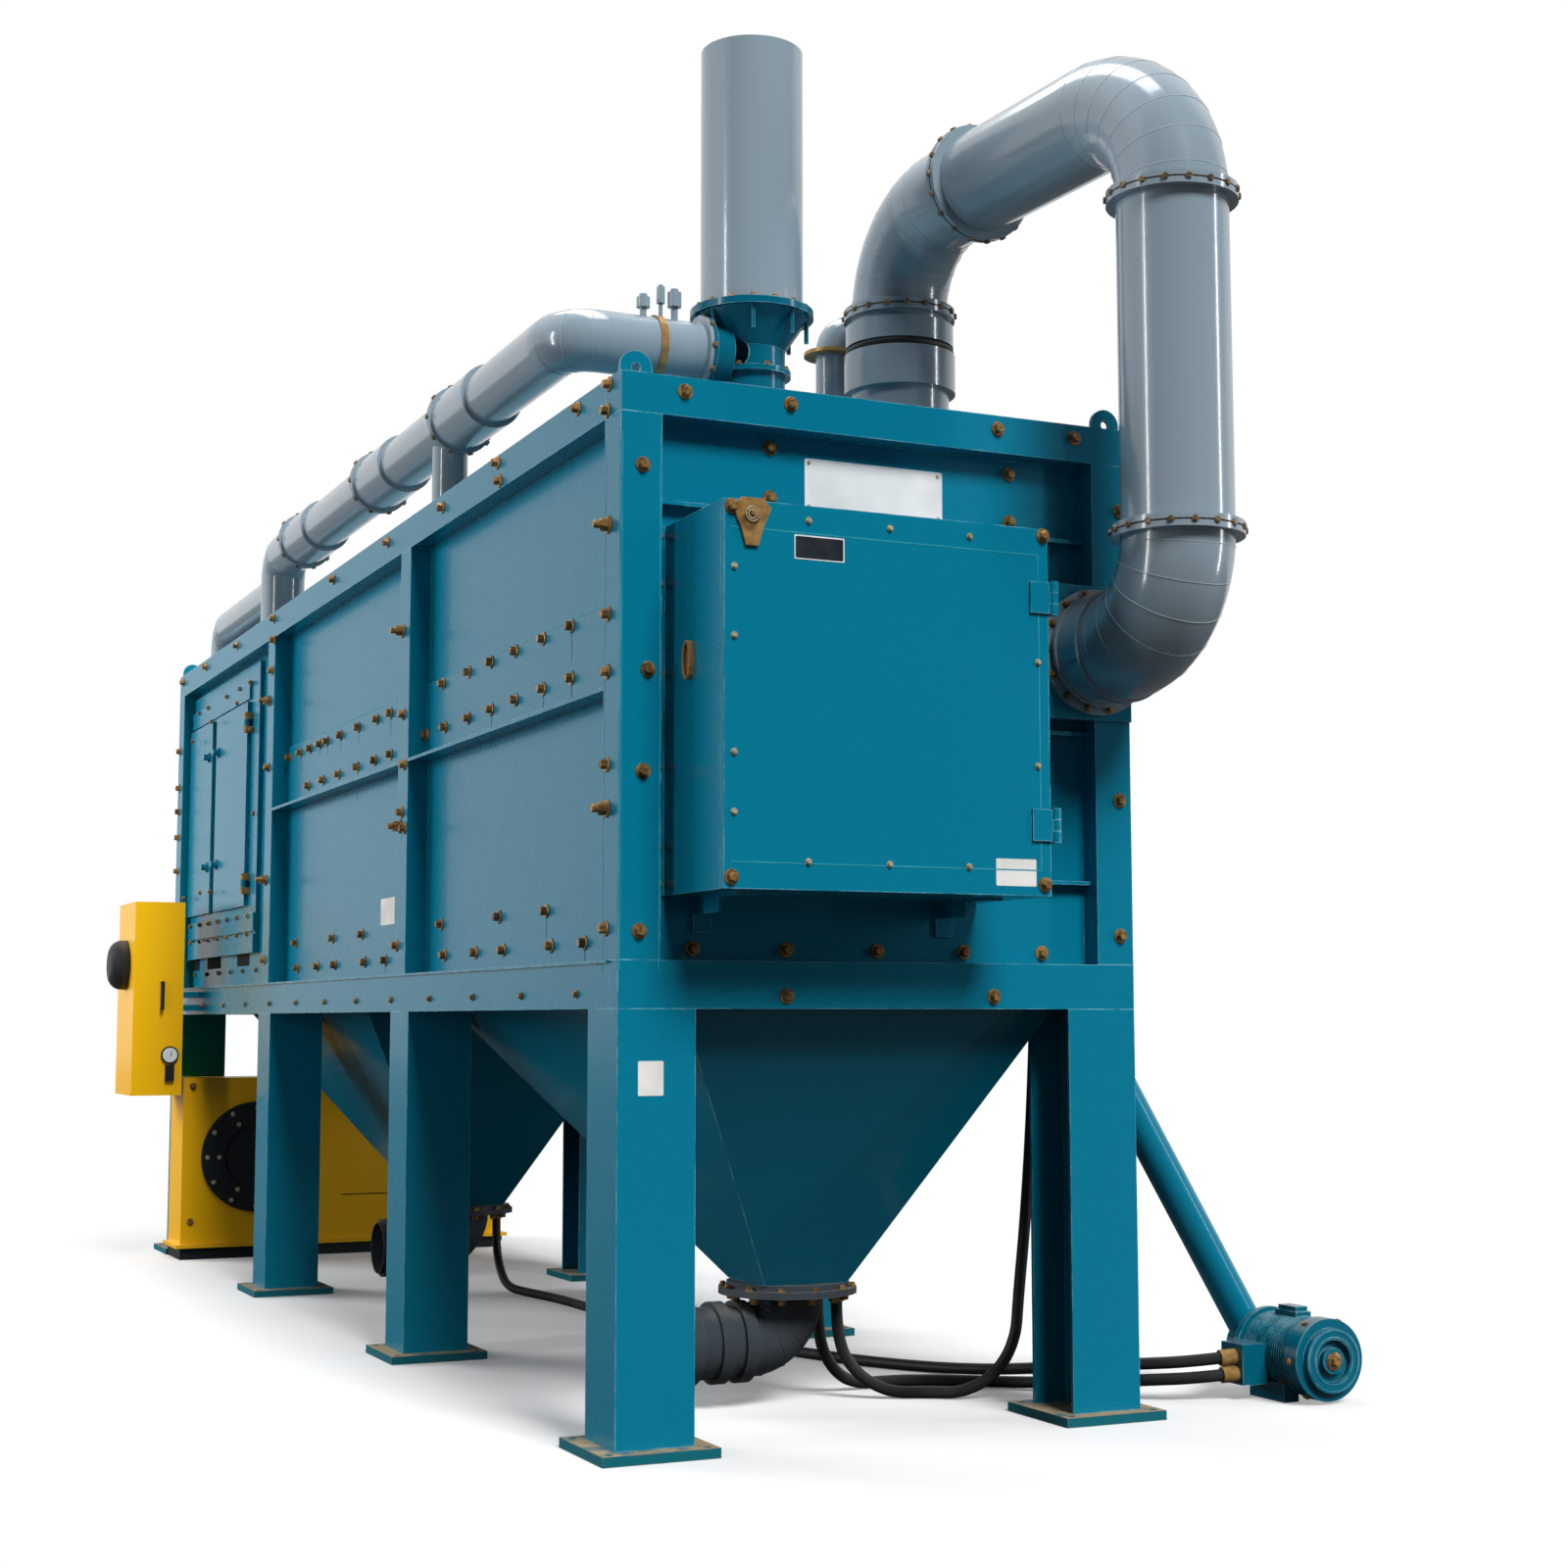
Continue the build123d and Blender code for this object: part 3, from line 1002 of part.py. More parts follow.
def fan():
    """The fan casing on its plinth behind the last hopper, with a round inlet in front."""
    x = (FAN_LEFT, FAN_LEFT + FAN_WIDTH)
    y = (FAN_FRONT, FAN_BACK)
    top = PLINTH_HEIGHT + FAN_HEIGHT
    low = (0, PLINTH_HEIGHT - CASING_FOOT)
    rigid["fan_plinth"] = [span(x, y, low)]
    casing = span(x, y, (PLINTH_HEIGHT, top))
    casing += span((x[0] - CASING_LAP, x[1] + CASING_LAP), (y[0] - CASING_LAP, y[1]),
                   (low[1], PLINTH_HEIGHT))
    eye = (x[0] + EYE_PLACE, y[0] + EYE_RADIUS + CASING_LAP, top + EYE_RADIUS)
    lug = rod(eye, (1, 0, 0), CASING_FOOT, EYE_RADIUS)
    lug += span((eye[0], eye[0] + CASING_FOOT), (eye[1] - EYE_RADIUS, eye[1] + EYE_RADIUS), (top, eye[2]))
    casing += lug - rod(eye, (1, 0, 0), CASING_FOOT, EYE_RADIUS / 2)
    rigid["fan_casing"] = [casing]
    face = (INLET_X, FAN_FRONT, INLET_HEIGHT)
    inlet = rod(face, (0, -1, 0), INLET_DEPTH, INLET_RADIUS, INLET_THROAT)
    inlet += rod(face, (0, -1, 0), INLET_DEPTH / 2, INLET_THROAT + INLET_HUB_STEP)
    inlet += rod(face, (0, -1, 0), INLET_DEPTH, INLET_HUB)
    rigid["fan_inlet"] = [inlet]


def control_panel():
    """The yellow panel on the left at the back, its arms and the fittings on its faces."""
    x = (PANEL_LEFT, PANEL_LEFT + PANEL_DEPTH)
    y = (PANEL_FRONT, PANEL_FRONT + PANEL_WIDTH)
    z = (PANEL_BASE, PANEL_BASE + PANEL_HEIGHT)
    rigid["control_panel"] = [span(x, y, z)]
    arms = []
    for up in PANEL_ARM_UPS:
        arms.append(span((x[1], 0), (y[0] + PANEL_ARM_INSET, y[1] - PANEL_ARM_INSET),
                         (LEG_TOP + up, LEG_TOP + up + PANEL_ARM_HEIGHT)))

    profile = Plane.XZ * make_face([
        Line((0, 0), (DOME_RADIUS, 0)),
        Line((DOME_RADIUS, 0), (DOME_RADIUS, DOME_REACH / 3)),
        ThreePointArc((DOME_RADIUS, DOME_REACH / 3), (0.8 * DOME_RADIUS, 0.85 * DOME_REACH),
                      (0.45 * DOME_RADIUS, DOME_REACH)),
        Line((0.45 * DOME_RADIUS, DOME_REACH), (0, DOME_REACH)),
        Line((0, DOME_REACH), (0, 0))])
    cap = revolve(profile, axis=Axis.Z)
    seat = Plane(origin=(x[0], y[0] + PANEL_WIDTH / 2, z[0] + DOME_UP), z_dir=(-1, 0, 0))
    dial = rod((x[0] + DIAL_PLACE[0], y[0], z[0] + DIAL_PLACE[1]), (0, -1, 0), DIAL_DEPTH, DIAL_RADIUS)
    switch_x = x[0] + SWITCH_PLACE[0]
    switch_z = z[0] + SWITCH_PLACE[1]
    switch = span((switch_x - SWITCH_SIZE[0] / 2, switch_x + SWITCH_SIZE[0] / 2),
                  (y[0] - SWITCH_SIZE[1], y[0]), (switch_z, switch_z + SWITCH_SIZE[2]))
    grip = HANDLE_REACH / 4
    handle_x = (x[0] + HANDLE_PLACE[0] - grip, x[0] + HANDLE_PLACE[0] + grip)
    handle_z = z[0] + HANDLE_PLACE[1]
    handle = span(handle_x, (y[0] - HANDLE_REACH, y[0]), (handle_z, handle_z + HANDLE_LENGTH))
    handle -= span(handle_x, (y[0] - HANDLE_REACH + 2 * grip, y[0]),
                   (handle_z + 2 * grip, handle_z + HANDLE_LENGTH - 2 * grip))
    rigid["control_panel_fittings"] = [seat * cap, dial, switch, handle]
    return arms


def screw_motor():
    """The finned motor on the floor, with its end bell, terminal box and slanting tube."""
    front = MOTOR_FRONT
    axis = (MOTOR_X, front, MOTOR_AXIS_HEIGHT)
    back = (0, 1, 0)
    body = rod(moved(axis, back, BELL_DEPTH), back, MOTOR_LENGTH, MOTOR_CORE_RADIUS)
    for index in range(1, int(MOTOR_LENGTH / FIN_PITCH)):
        body += rod(moved(axis, back, BELL_DEPTH + index * FIN_PITCH), back, FIN_THICKNESS, MOTOR_RADIUS)
    for left in (MOTOR_X - MOTOR_FOOT[0] - MOTOR_FOOT[1], MOTOR_X + MOTOR_FOOT[0]):
        body += span((left, left + MOTOR_FOOT[1]),
                     (front + BELL_DEPTH + MOTOR_FOOT[2], front + BELL_DEPTH + MOTOR_LENGTH - MOTOR_FOOT[2]),
                     (0, MOTOR_FOOT[1]))
    level = MOTOR_AXIS_HEIGHT + MOTOR_CORE_RADIUS - TOP_BLOCK[2] / 2
    for size in (TOP_BLOCK, TOP_BLOCK_LID):
        middle = front + BELL_DEPTH + MOTOR_LENGTH / 2
        body += span((MOTOR_X - size[0] / 2, MOTOR_X + size[0] / 2),
                     (middle - size[1] / 2, middle + size[1] / 2), (level, level + size[2]))
        level += size[2]
    rigid["motor_body"] = [body]

    bell = rod(moved(axis, back, BELL_STEP), back, BELL_DEPTH - BELL_STEP, MOTOR_RADIUS + BELL_LAP)
    bell += rod(axis, back, BELL_STEP, MOTOR_RADIUS - BELL_STEP)
    bell -= rod(axis, back, BELL_STEP, BELL_GROOVE_RADIUS, BELL_HUB)
    rigid["motor_end_bell"] = [bell]

    flange_start = moved(axis, back, BELL_DEPTH + MOTOR_LENGTH)
    gear_start = moved(flange_start, back, REAR_FLANGE_THICKNESS)
    rear = rod(flange_start, back, REAR_FLANGE_THICKNESS, MOTOR_RADIUS + REAR_FLANGE_STEP)
    gear = rod(gear_start, back, GEAR_DEPTH, GEAR_RADIUS)
    rigid["motor_rear_flange"] = [rear + gear]

    box_left = MOTOR_X - MOTOR_RADIUS - TERMINAL_BOX_REACH
    box_right = MOTOR_X - MOTOR_RADIUS + TERMINAL_BOX_SINK
    box_y = (front + TERMINAL_BOX_BACK[0], front + TERMINAL_BOX_BACK[1])
    box = span((box_left, box_right), box_y, TERMINAL_BOX_HEIGHTS)
    box -= rigid["motor_body"][0]
    rigid["motor_terminal_box"] = [box.solids().sort_by(SortBy.VOLUME)[-1]]

    hub = moved(gear_start, back, GEAR_DEPTH / 2)
    way = Vector(HOUSING_WIDTH - hub[0], 0, LEG_TOP + SCREW_ABOVE_LEG - hub[2])
    reach = way.length + SCREW_OVERRUN
    tube = rod(hub, tuple(way.normalized()), reach, SCREW_RADIUS, SCREW_RADIUS - SCREW_WALL)
    tube &= span((HOUSING_WIDTH, MOTOR_X + MOTOR_RADIUS), (hub[1] - GEAR_RADIUS, hub[1] + GEAR_RADIUS),
                 (0, WALL_BASE - LEDGE_THICKNESS))
    rigid["screw_tube"] = [tube - gear]


def hose(points):
    """A solid round hose along its route, each corner rounded as wide as its two runs allow."""
    radii = []
    for before, corner, after in zip(points, points[1:], points[2:]):
        first = Vector(*corner) - Vector(*before)
        second = Vector(*after) - Vector(*corner)
        turn = math.radians(first.get_angle(second))
        shorter = min(first.length, second.length)
        radii.append(round(0.45 * shorter / math.tan(turn / 2), 1))
    line = FilletPolyline(*points, radius=radii)
    way = Vector(*points[1]) - Vector(*points[0])
    start = Plane(origin=points[0], z_dir=tuple(way.normalized()))
    tube = sweep(start * Circle(HOSE_RADIUS), path=line)
    expected = math.pi * HOSE_RADIUS ** 2 * line.length
    share = round(tube.volume / expected, 4)
    print("hose length", round(line.length), "volume share", share, "radii", radii)
    return tube


def hose_runs():
    """The three hoses and the gland at each of their ends."""
    glands = []
    beam = span((HOUSING_WIDTH - LEG_SIZE, HOUSING_WIDTH), (0, HOUSING_LENGTH), (LEG_TOP, WALL_BASE))
    for name, route in HOSE_ROUTES.items():
        points = [(x, y if y < REAR_ROUTE_START else y + REAR_OUTLET_Y - REAR_ROUTE_END, z)
                  for x, y, z in route]
        hoses[name] = [hose(points)]
        away = (Vector(*points[0]) - Vector(*points[1])).normalized()
        gland = rod(points[0], tuple(away), 2 * GLAND_LENGTH, GLAND_RADIUS)
        for body in (rigid["motor_terminal_box"][0], beam):
            gland -= body
        glands.append(gland.solids().sort_by_distance(points[0])[0])
        glands.append(rod(points[-1], (0, 0, 1), GLAND_RISE, GLAND_RADIUS))
    rigid["hose_glands"] = glands


def roof_fittings():
    """The vent pipe behind the stack and the brass fittings on the roof pipes."""
    up = (0, 0, 1)
    bore = RISER_RADIUS - MANIFOLD_WALL
    base = (RISER_X, RISER_Y)
    rise = RISER_TOP - RISER_BEND - ROOF_TOP
    pipe = bend((*base, RISER_TOP - RISER_BEND), up, (1, 0, 0), RISER_BEND, RISER_RADIUS, bore,
                lead=rise, tail=RISER_RADIUS)
    pipe += rod((*base, ROOF_TOP), up, COUPLING_THICKNESS, RISER_FLANGE_RADIUS, bore + MANIFOLD_WALL / 2)
    rigid["vent_riser"] = [pipe]
    plate = rod((*base, RISER_FLANGE_HEIGHT), up, COUPLING_THICKNESS, RISER_FLANGE_RADIUS,
                RISER_RADIUS + FITTING_CLEARANCE)
    strap = rod((STRAP_X, STACK_Y, MANIFOLD_HEIGHT), (1, 0, 0), STRAP_WIDTH,
                MANIFOLD_RADIUS + STRAP_THICKNESS, MANIFOLD_RADIUS + FITTING_CLEARANCE)
    rigid["roof_fittings"] = [plate, strap]


def manifold_valves(cross):
    """Small valves that stand on the cross pipe."""
    for x, radius, height in VALVE_PLACES:
        foot = MANIFOLD_HEIGHT + MANIFOLD_RADIUS - MANIFOLD_WALL / 2
        cross += rod((x, STACK_Y, foot), (0, 0, 1), height, radius / 2)
        cross += rod((x, STACK_Y, foot + height / 2), (0, 0, 1), height / 2, radius)
        cross += rod((x, STACK_Y, foot + height), (0, 0, 1), radius / 2, radius * VALVE_CAP_SHARE)
    return cross


def write_parts():
    """Moves the origin under the middle of the machine and writes one file a node."""
    solids = [piece for pieces in rigid.values() for piece in pieces]
    boxes = [piece.bounding_box() for piece in solids]
    low = [min(getattr(box.min, axis) for box in boxes) for axis in "XYZ"]
    high = [max(getattr(box.max, axis) for box in boxes) for axis in "XYZ"]
    shift = Pos(-(low[0] + high[0]) / 2, -(low[1] + high[1]) / 2, -low[2])
    print("shift", shift.position)
    for name, pieces in {**rigid, **hoses}.items():
        placed = [shift * piece for piece in pieces]
        flat = [solid for piece in placed for solid in piece.solids()]
        shape = flat[0] if len(flat) == 1 else Compound(children=flat)
        export_step(shape, f"parts/{name}.step")
        print(name, len(flat), round(sum(solid.volume for solid in flat) / 1e9, 5))


legs_and_feet()
ring_of_beams()
floor_plate()
for name, start in zip(("front_hopper", "rear_hopper"), HOPPER_STARTS):
    rigid[name] = [hopper(start)]
posts()
top_beams()
wall_panels()
front_flats()
roof()
rigid["lifting_lugs"] = lifting_lugs()
inlet_duct()
outlet_stack()
manifold()
roof_fittings()
rigid["wall_brackets"] = cabinet() + control_panel()
side_doors()
hopper_outlets()
fan()
screw_motor()
hose_runs()
write_parts()
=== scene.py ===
# %% [markdown]
# # A mechanical dust collector, dressed
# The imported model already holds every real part: legs, hoppers, housing, ducts, doors, fan and motor.
# This lesson gives each of them its finish and adds what is too small for the solids: bolts, weld seams,
# drips, bare plates and the line of the hoses. Nothing here moves or resizes a part.

# %% Load the frame
import json
import math

import bpy
import numpy as np
from mathutils import Matrix, Vector


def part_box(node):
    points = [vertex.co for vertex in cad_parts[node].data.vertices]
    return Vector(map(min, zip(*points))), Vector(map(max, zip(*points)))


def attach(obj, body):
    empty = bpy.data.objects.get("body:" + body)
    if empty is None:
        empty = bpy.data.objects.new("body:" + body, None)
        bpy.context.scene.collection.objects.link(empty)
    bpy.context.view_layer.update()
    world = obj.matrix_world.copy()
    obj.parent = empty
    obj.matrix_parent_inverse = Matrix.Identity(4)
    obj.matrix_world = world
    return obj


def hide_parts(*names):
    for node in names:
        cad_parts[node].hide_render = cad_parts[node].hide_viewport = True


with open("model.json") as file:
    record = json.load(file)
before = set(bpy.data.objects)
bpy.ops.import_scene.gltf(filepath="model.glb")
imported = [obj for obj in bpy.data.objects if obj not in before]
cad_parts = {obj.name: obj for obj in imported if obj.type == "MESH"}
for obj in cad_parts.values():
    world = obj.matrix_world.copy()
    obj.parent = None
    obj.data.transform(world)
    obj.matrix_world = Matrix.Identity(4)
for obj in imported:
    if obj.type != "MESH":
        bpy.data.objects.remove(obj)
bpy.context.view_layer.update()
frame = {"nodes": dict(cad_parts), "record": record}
NODES = frame["nodes"]

# %% [markdown]
# The drawings of the machine count from the floor under the front left corner of its housing: X to the
# right, Y to the back, Z up. The posts start at that corner, so their box says where it lies in the frame,
# and `place` turns drawing places into frame places.

# %% Places on the machine
POSTS_LOW, POSTS_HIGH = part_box("wall_posts")
CORNER = np.array([POSTS_LOW.x, POSTS_LOW.y, 0.0])
LENGTH = POSTS_HIGH.y - POSTS_LOW.y
WIDTH = POSTS_HIGH.x - POSTS_LOW.x
BAY = LENGTH / 3
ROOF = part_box("roof_sheets")[1].z
RECESS = 0.08
POST = 0.135
RIGHT, BACK, UP = np.eye(3)
LEFT, FRONT, DOWN = -RIGHT, -BACK, -UP
RANDOM = np.random.default_rng(7)


def place(points):
    """Drawing places, one row each, as places in the frame: the corner's place is added to each."""
    return np.asarray(points, float).reshape(-1, 3) + CORNER


print("corner", CORNER.round(4), "bay", round(BAY, 3), "roof", round(ROOF, 3))

# %% [markdown]
# The camera stands low at the front left, as in the photograph. It was solved from the housing's straight
# edges: a place, a turn towards the right, a slight tilt up and a lens of about 54 mm.

# %% Camera
CAMERA_AT = (-2.4711, -6.4847, 1.2717)
CAMERA_YAW = math.radians(24.916)
CAMERA_PITCH = math.radians(5.757)
CAMERA_ROLL = math.radians(-0.06)
CAMERA_LENS = 53.79

camera = bpy.data.objects.new("camera", bpy.data.cameras.new("camera"))
bpy.context.scene.collection.objects.link(camera)
bpy.context.scene.camera = camera
camera.data.lens = CAMERA_LENS
camera.data.sensor_width = 36.0
camera.data.clip_end = 200.0
forward = Vector((math.sin(CAMERA_YAW) * math.cos(CAMERA_PITCH),
                  math.cos(CAMERA_YAW) * math.cos(CAMERA_PITCH), math.sin(CAMERA_PITCH)))
level = Vector((math.cos(CAMERA_YAW), -math.sin(CAMERA_YAW), 0.0))
across = level * math.cos(CAMERA_ROLL) + level.cross(forward) * math.sin(CAMERA_ROLL)
turn = Matrix((across, across.cross(forward), -forward)).transposed().to_4x4()
camera.matrix_world = Matrix.Translation(place(CAMERA_AT)[0]) @ turn
print("camera at", [round(v, 3) for v in camera.matrix_world.translation])

# %% [markdown]
# Small helpers for shader nodes come first. Every finish is built from nodes, so one function adds a node
# and sets its values, and the others do sums, smooth steps, noise and mixes of colours.

# %% Helpers for shader nodes
def add_node(tree, kind, values=None, **settings):
    """A shader node with its settings and the values of its input sockets."""
    node = tree.nodes.new(kind)
    for key, value in settings.items():
        setattr(node, key, value)
    for key, value in (values or {}).items():
        node.inputs[key].default_value = value
    return node


def math_node(tree, operation, first, second=None, clamp=False):
    """A Math node whose two inputs are sockets or plain numbers."""
    node = add_node(tree, "ShaderNodeMath", operation=operation, use_clamp=clamp)
    for index, value in enumerate((first, second)):
        if value is None:
            continue
        if isinstance(value, bpy.types.NodeSocket):
            tree.links.new(value, node.inputs[index])
        else:
            node.inputs[index].default_value = value
    return node.outputs[0]


def ramp(tree, factor, low, high):
    """A smooth rise from 0 at low to 1 at high."""
    node = add_node(tree, "ShaderNodeMapRange", {"From Min": low, "From Max": high},
                    interpolation_type="SMOOTHSTEP")
    tree.links.new(factor, node.inputs["Value"])
    return node.outputs["Result"]


def noise(tree, scale, stretch=(1.0, 1.0, 1.0), shift=0.0, detail=4.0, roughness=0.55):
    """Noise on Object coordinates, in cells a metre, stretched by the inverse of each number."""
    where = add_node(tree, "ShaderNodeTexCoord")
    mapping = add_node(tree, "ShaderNodeMapping", {"Scale": stretch, "Location": (shift, shift, shift)})
    node = add_node(tree, "ShaderNodeTexNoise", {"Scale": scale, "Detail": detail, "Roughness": roughness})
    tree.links.new(where.outputs["Object"], mapping.inputs["Vector"])
    tree.links.new(mapping.outputs["Vector"], node.inputs["Vector"])
    return node.outputs["Fac"]


def mix_colour(tree, factor, first, second):
    """A colour between two, by a factor socket or number."""
    node = add_node(tree, "ShaderNodeMix", data_type="RGBA")
    for name, value in (("Factor", factor), ("A", first), ("B", second)):
        socket = [s for s in node.inputs if s.name == name and (name == "Factor" or s.type == "RGBA")][0]
        if isinstance(value, bpy.types.NodeSocket):
            tree.links.new(value, socket)
        else:
            socket.default_value = value
    return [s for s in node.outputs if s.type == "RGBA"][0]


def new_group(name, inputs, outputs):
    """An empty node group with named sockets; each input is (name, socket type, starting value)."""
    tree = bpy.data.node_groups.new(name, "ShaderNodeTree")
    for label, kind, value in inputs:
        socket = tree.interface.new_socket(label, in_out="INPUT", socket_type=kind)
        socket.default_value = value
    for label, kind in outputs:
        tree.interface.new_socket(label, in_out="OUTPUT", socket_type=kind)
    return tree, tree.nodes.new("NodeGroupInput"), tree.nodes.new("NodeGroupOutput")


def send_mask(tree, first, second, group_in, group_out):
    """The group's mask: first * second * amount, held between 0 and 1."""
    both = math_node(tree, "MULTIPLY", first, second)
    mask = math_node(tree, "MULTIPLY", both, group_in.outputs["Amount"], clamp=True)
    tree.links.new(mask, group_out.inputs["Mask"])


# %% [markdown]
# **Paint skin.** Sprayed machine enamel is never one flat colour. It has wide soft clouds, faint upright
# runs where water dried, and a fine orange peel. The group mixes two shades by the first two and gives a
# roughness and a height for the bump.

# %% Group: paint skin
skin, skin_in, skin_out = new_group(
    "paint_skin",
    [("Shade", "NodeSocketColor", (0.5, 0.5, 0.5, 1)), ("Deep Shade", "NodeSocketColor", (0.3, 0.3, 0.3, 1)),
     ("Clouds", "NodeSocketFloat", 0.5), ("Runs", "NodeSocketFloat", 0.4),
     ("Roughness", "NodeSocketFloat", 0.35)],
    [("Color", "NodeSocketColor"), ("Roughness", "NodeSocketFloat"), ("Height", "NodeSocketFloat")])
clouds = ramp(skin, noise(skin, 1.1, detail=3.0), 0.3, 0.75)
runs = ramp(skin, noise(skin, 5.0, stretch=(1.0, 1.0, 0.08), shift=3.0), 0.45, 0.8)
cloud_part = math_node(skin, "MULTIPLY", clouds, skin_in.outputs["Clouds"])
run_part = math_node(skin, "MULTIPLY", runs, skin_in.outputs["Runs"])
deep = math_node(skin, "ADD", cloud_part, run_part, clamp=True)
skin.links.new(mix_colour(skin, deep, skin_in.outputs["Shade"], skin_in.outputs["Deep Shade"]),
               skin_out.inputs["Color"])
smudges = ramp(skin, noise(skin, 14.0, shift=9.0, detail=6.0), 0.35, 0.75)
uneven = math_node(skin, "MULTIPLY", smudges, 0.015)
skin.links.new(math_node(skin, "ADD", skin_in.outputs["Roughness"], uneven, clamp=True),
               skin_out.inputs["Roughness"])
peel = noise(skin, 260.0, detail=2.0)
waves = math_node(skin, "MULTIPLY", noise(skin, 6.0, shift=5.0, detail=1.0), 0.8)
skin.links.new(math_node(skin, "ADD", math_node(skin, "MULTIPLY", peel, 0.12), waves),
               skin_out.inputs["Height"])
print("paint_skin nodes", len(skin.nodes))

# %% [markdown]
# ** Edge wear and highlight.** Where sheets and sections turn a corner, handling rubs the top coat thin and
# a pale line shows. The same pale line is also a painted highlight: the light that a rounded edge catches.
# The Bevel node gives the normal that a rounded edge would have; where it leaves the true normal there is an
# edge near. Noise breaks the line up.

# %% Group: edge wear and painted highlight
wear_and_highlight, wear_and_highlight_in, wear_and_highlight_out = new_group(
    "edge_wear_and_highlight",
    [("Reach", "NodeSocketFloat", 0.004), ("Amount", "NodeSocketFloat", 0.7)],
    [("Mask", "NodeSocketFloat")])
rounded = add_node(wear_and_highlight, "ShaderNodeBevel", samples=4)
wear_and_highlight.links.new(wear_and_highlight_in.outputs["Reach"], rounded.inputs["Radius"])
true_normal = add_node(wear_and_highlight, "ShaderNodeNewGeometry")
likeness = add_node(wear_and_highlight, "ShaderNodeVectorMath", operation="DOT_PRODUCT")
wear_and_highlight.links.new(rounded.outputs["Normal"], likeness.inputs[0])
wear_and_highlight.links.new(true_normal.outputs["Normal"], likeness.inputs[1])
edge = ramp(wear_and_highlight, math_node(wear_and_highlight, "SUBTRACT", 1.0, likeness.outputs["Value"]), 0.02, 0.18)
broken = ramp(wear_and_highlight, noise(wear_and_highlight, 9.0, shift=1.0, detail=8.0, roughness=0.7), 0.38, 0.6)
send_mask(wear_and_highlight, edge, broken, wear_and_highlight_in, wear_and_highlight_out)

# %% [markdown]
# **Settled dust.** Dust lies on faces that look up, thicker in some places than in others. The group
# compares the face's normal with straight up and breaks the result with two sizes of noise.

# %% Group: settled dust
dust, dust_in, dust_out = new_group(
    "settled_dust", [("Amount", "NodeSocketFloat", 0.5)], [("Mask", "NodeSocketFloat")])
facing = add_node(dust, "ShaderNodeNewGeometry")
split = add_node(dust, "ShaderNodeSeparateXYZ")
dust.links.new(facing.outputs["Normal"], split.inputs[0])
upward = ramp(dust, split.outputs["Z"], 0.55, 0.95)
patches = ramp(dust, noise(dust, 7.0, shift=2.0, detail=8.0, roughness=0.65), 0.3, 0.65)
send_mask(dust, upward, patches, dust_in, dust_out)

# %% [markdown]
# **Rust bloom.** Brown spots come through the coat here and there. One group gives their mask, from fine
# noise that only passes where wider noise is high.

# %% Group: rust bloom
bloom, bloom_in, bloom_out = new_group(
    "rust_bloom", [("Amount", "NodeSocketFloat", 0.3)],
    [("Mask", "NodeSocketFloat"), ("Color", "NodeSocketColor")])
fine = noise(bloom, 60.0, shift=4.0, detail=8.0, roughness=0.75)
wide = ramp(bloom, noise(bloom, 3.5, shift=6.0, detail=2.0), 0.5, 0.72)
spots = ramp(bloom, fine, 0.56, 0.68)
send_mask(bloom, spots, wide, bloom_in, bloom_out)
bloom.links.new(mix_colour(bloom, fine, (0.09, 0.03, 0.012, 1), (0.32, 0.13, 0.045, 1)),
                bloom_out.inputs["Color"])
print("groups", [group.name for group in bpy.data.node_groups])


# %% [markdown]
# A painted finish puts the four groups together: skin, then dust, then worn edges with their painted
# highlight, then rust. The shader itself stays in the material, with its constant values on its own sockets.

# %% Painted finishes
DULLING = 0.4


def new_material(name, **values):
    """A material, its node tree and its shader, with constant values on the shader's own sockets."""
    material = bpy.data.materials.new(name)
    material.use_nodes = True
    shader = material.node_tree.nodes["Principled BSDF"]
    for key, value in values.items():
        shader.inputs[key.replace("_", " ")].default_value = value
    return material, material.node_tree, shader


def group_node(tree, name, **values):
    """One of the groups above, placed in a material with its own values."""
    node = tree.nodes.new("ShaderNodeGroup")
    node.node_tree = bpy.data.node_groups[name]
    for key, value in values.items():
        node.inputs[key.replace("_", " ")].default_value = value
    return node


def add_bump(tree, shader, height, strength, depth):
    """Tilts the shader's normal by a height socket whose unit is depth metres."""
    bump = add_node(tree, "ShaderNodeBump", {"Strength": strength, "Distance": depth})
    tree.links.new(height, bump.inputs["Height"])
    tree.links.new(bump.outputs["Normal"], shader.inputs["Normal"])


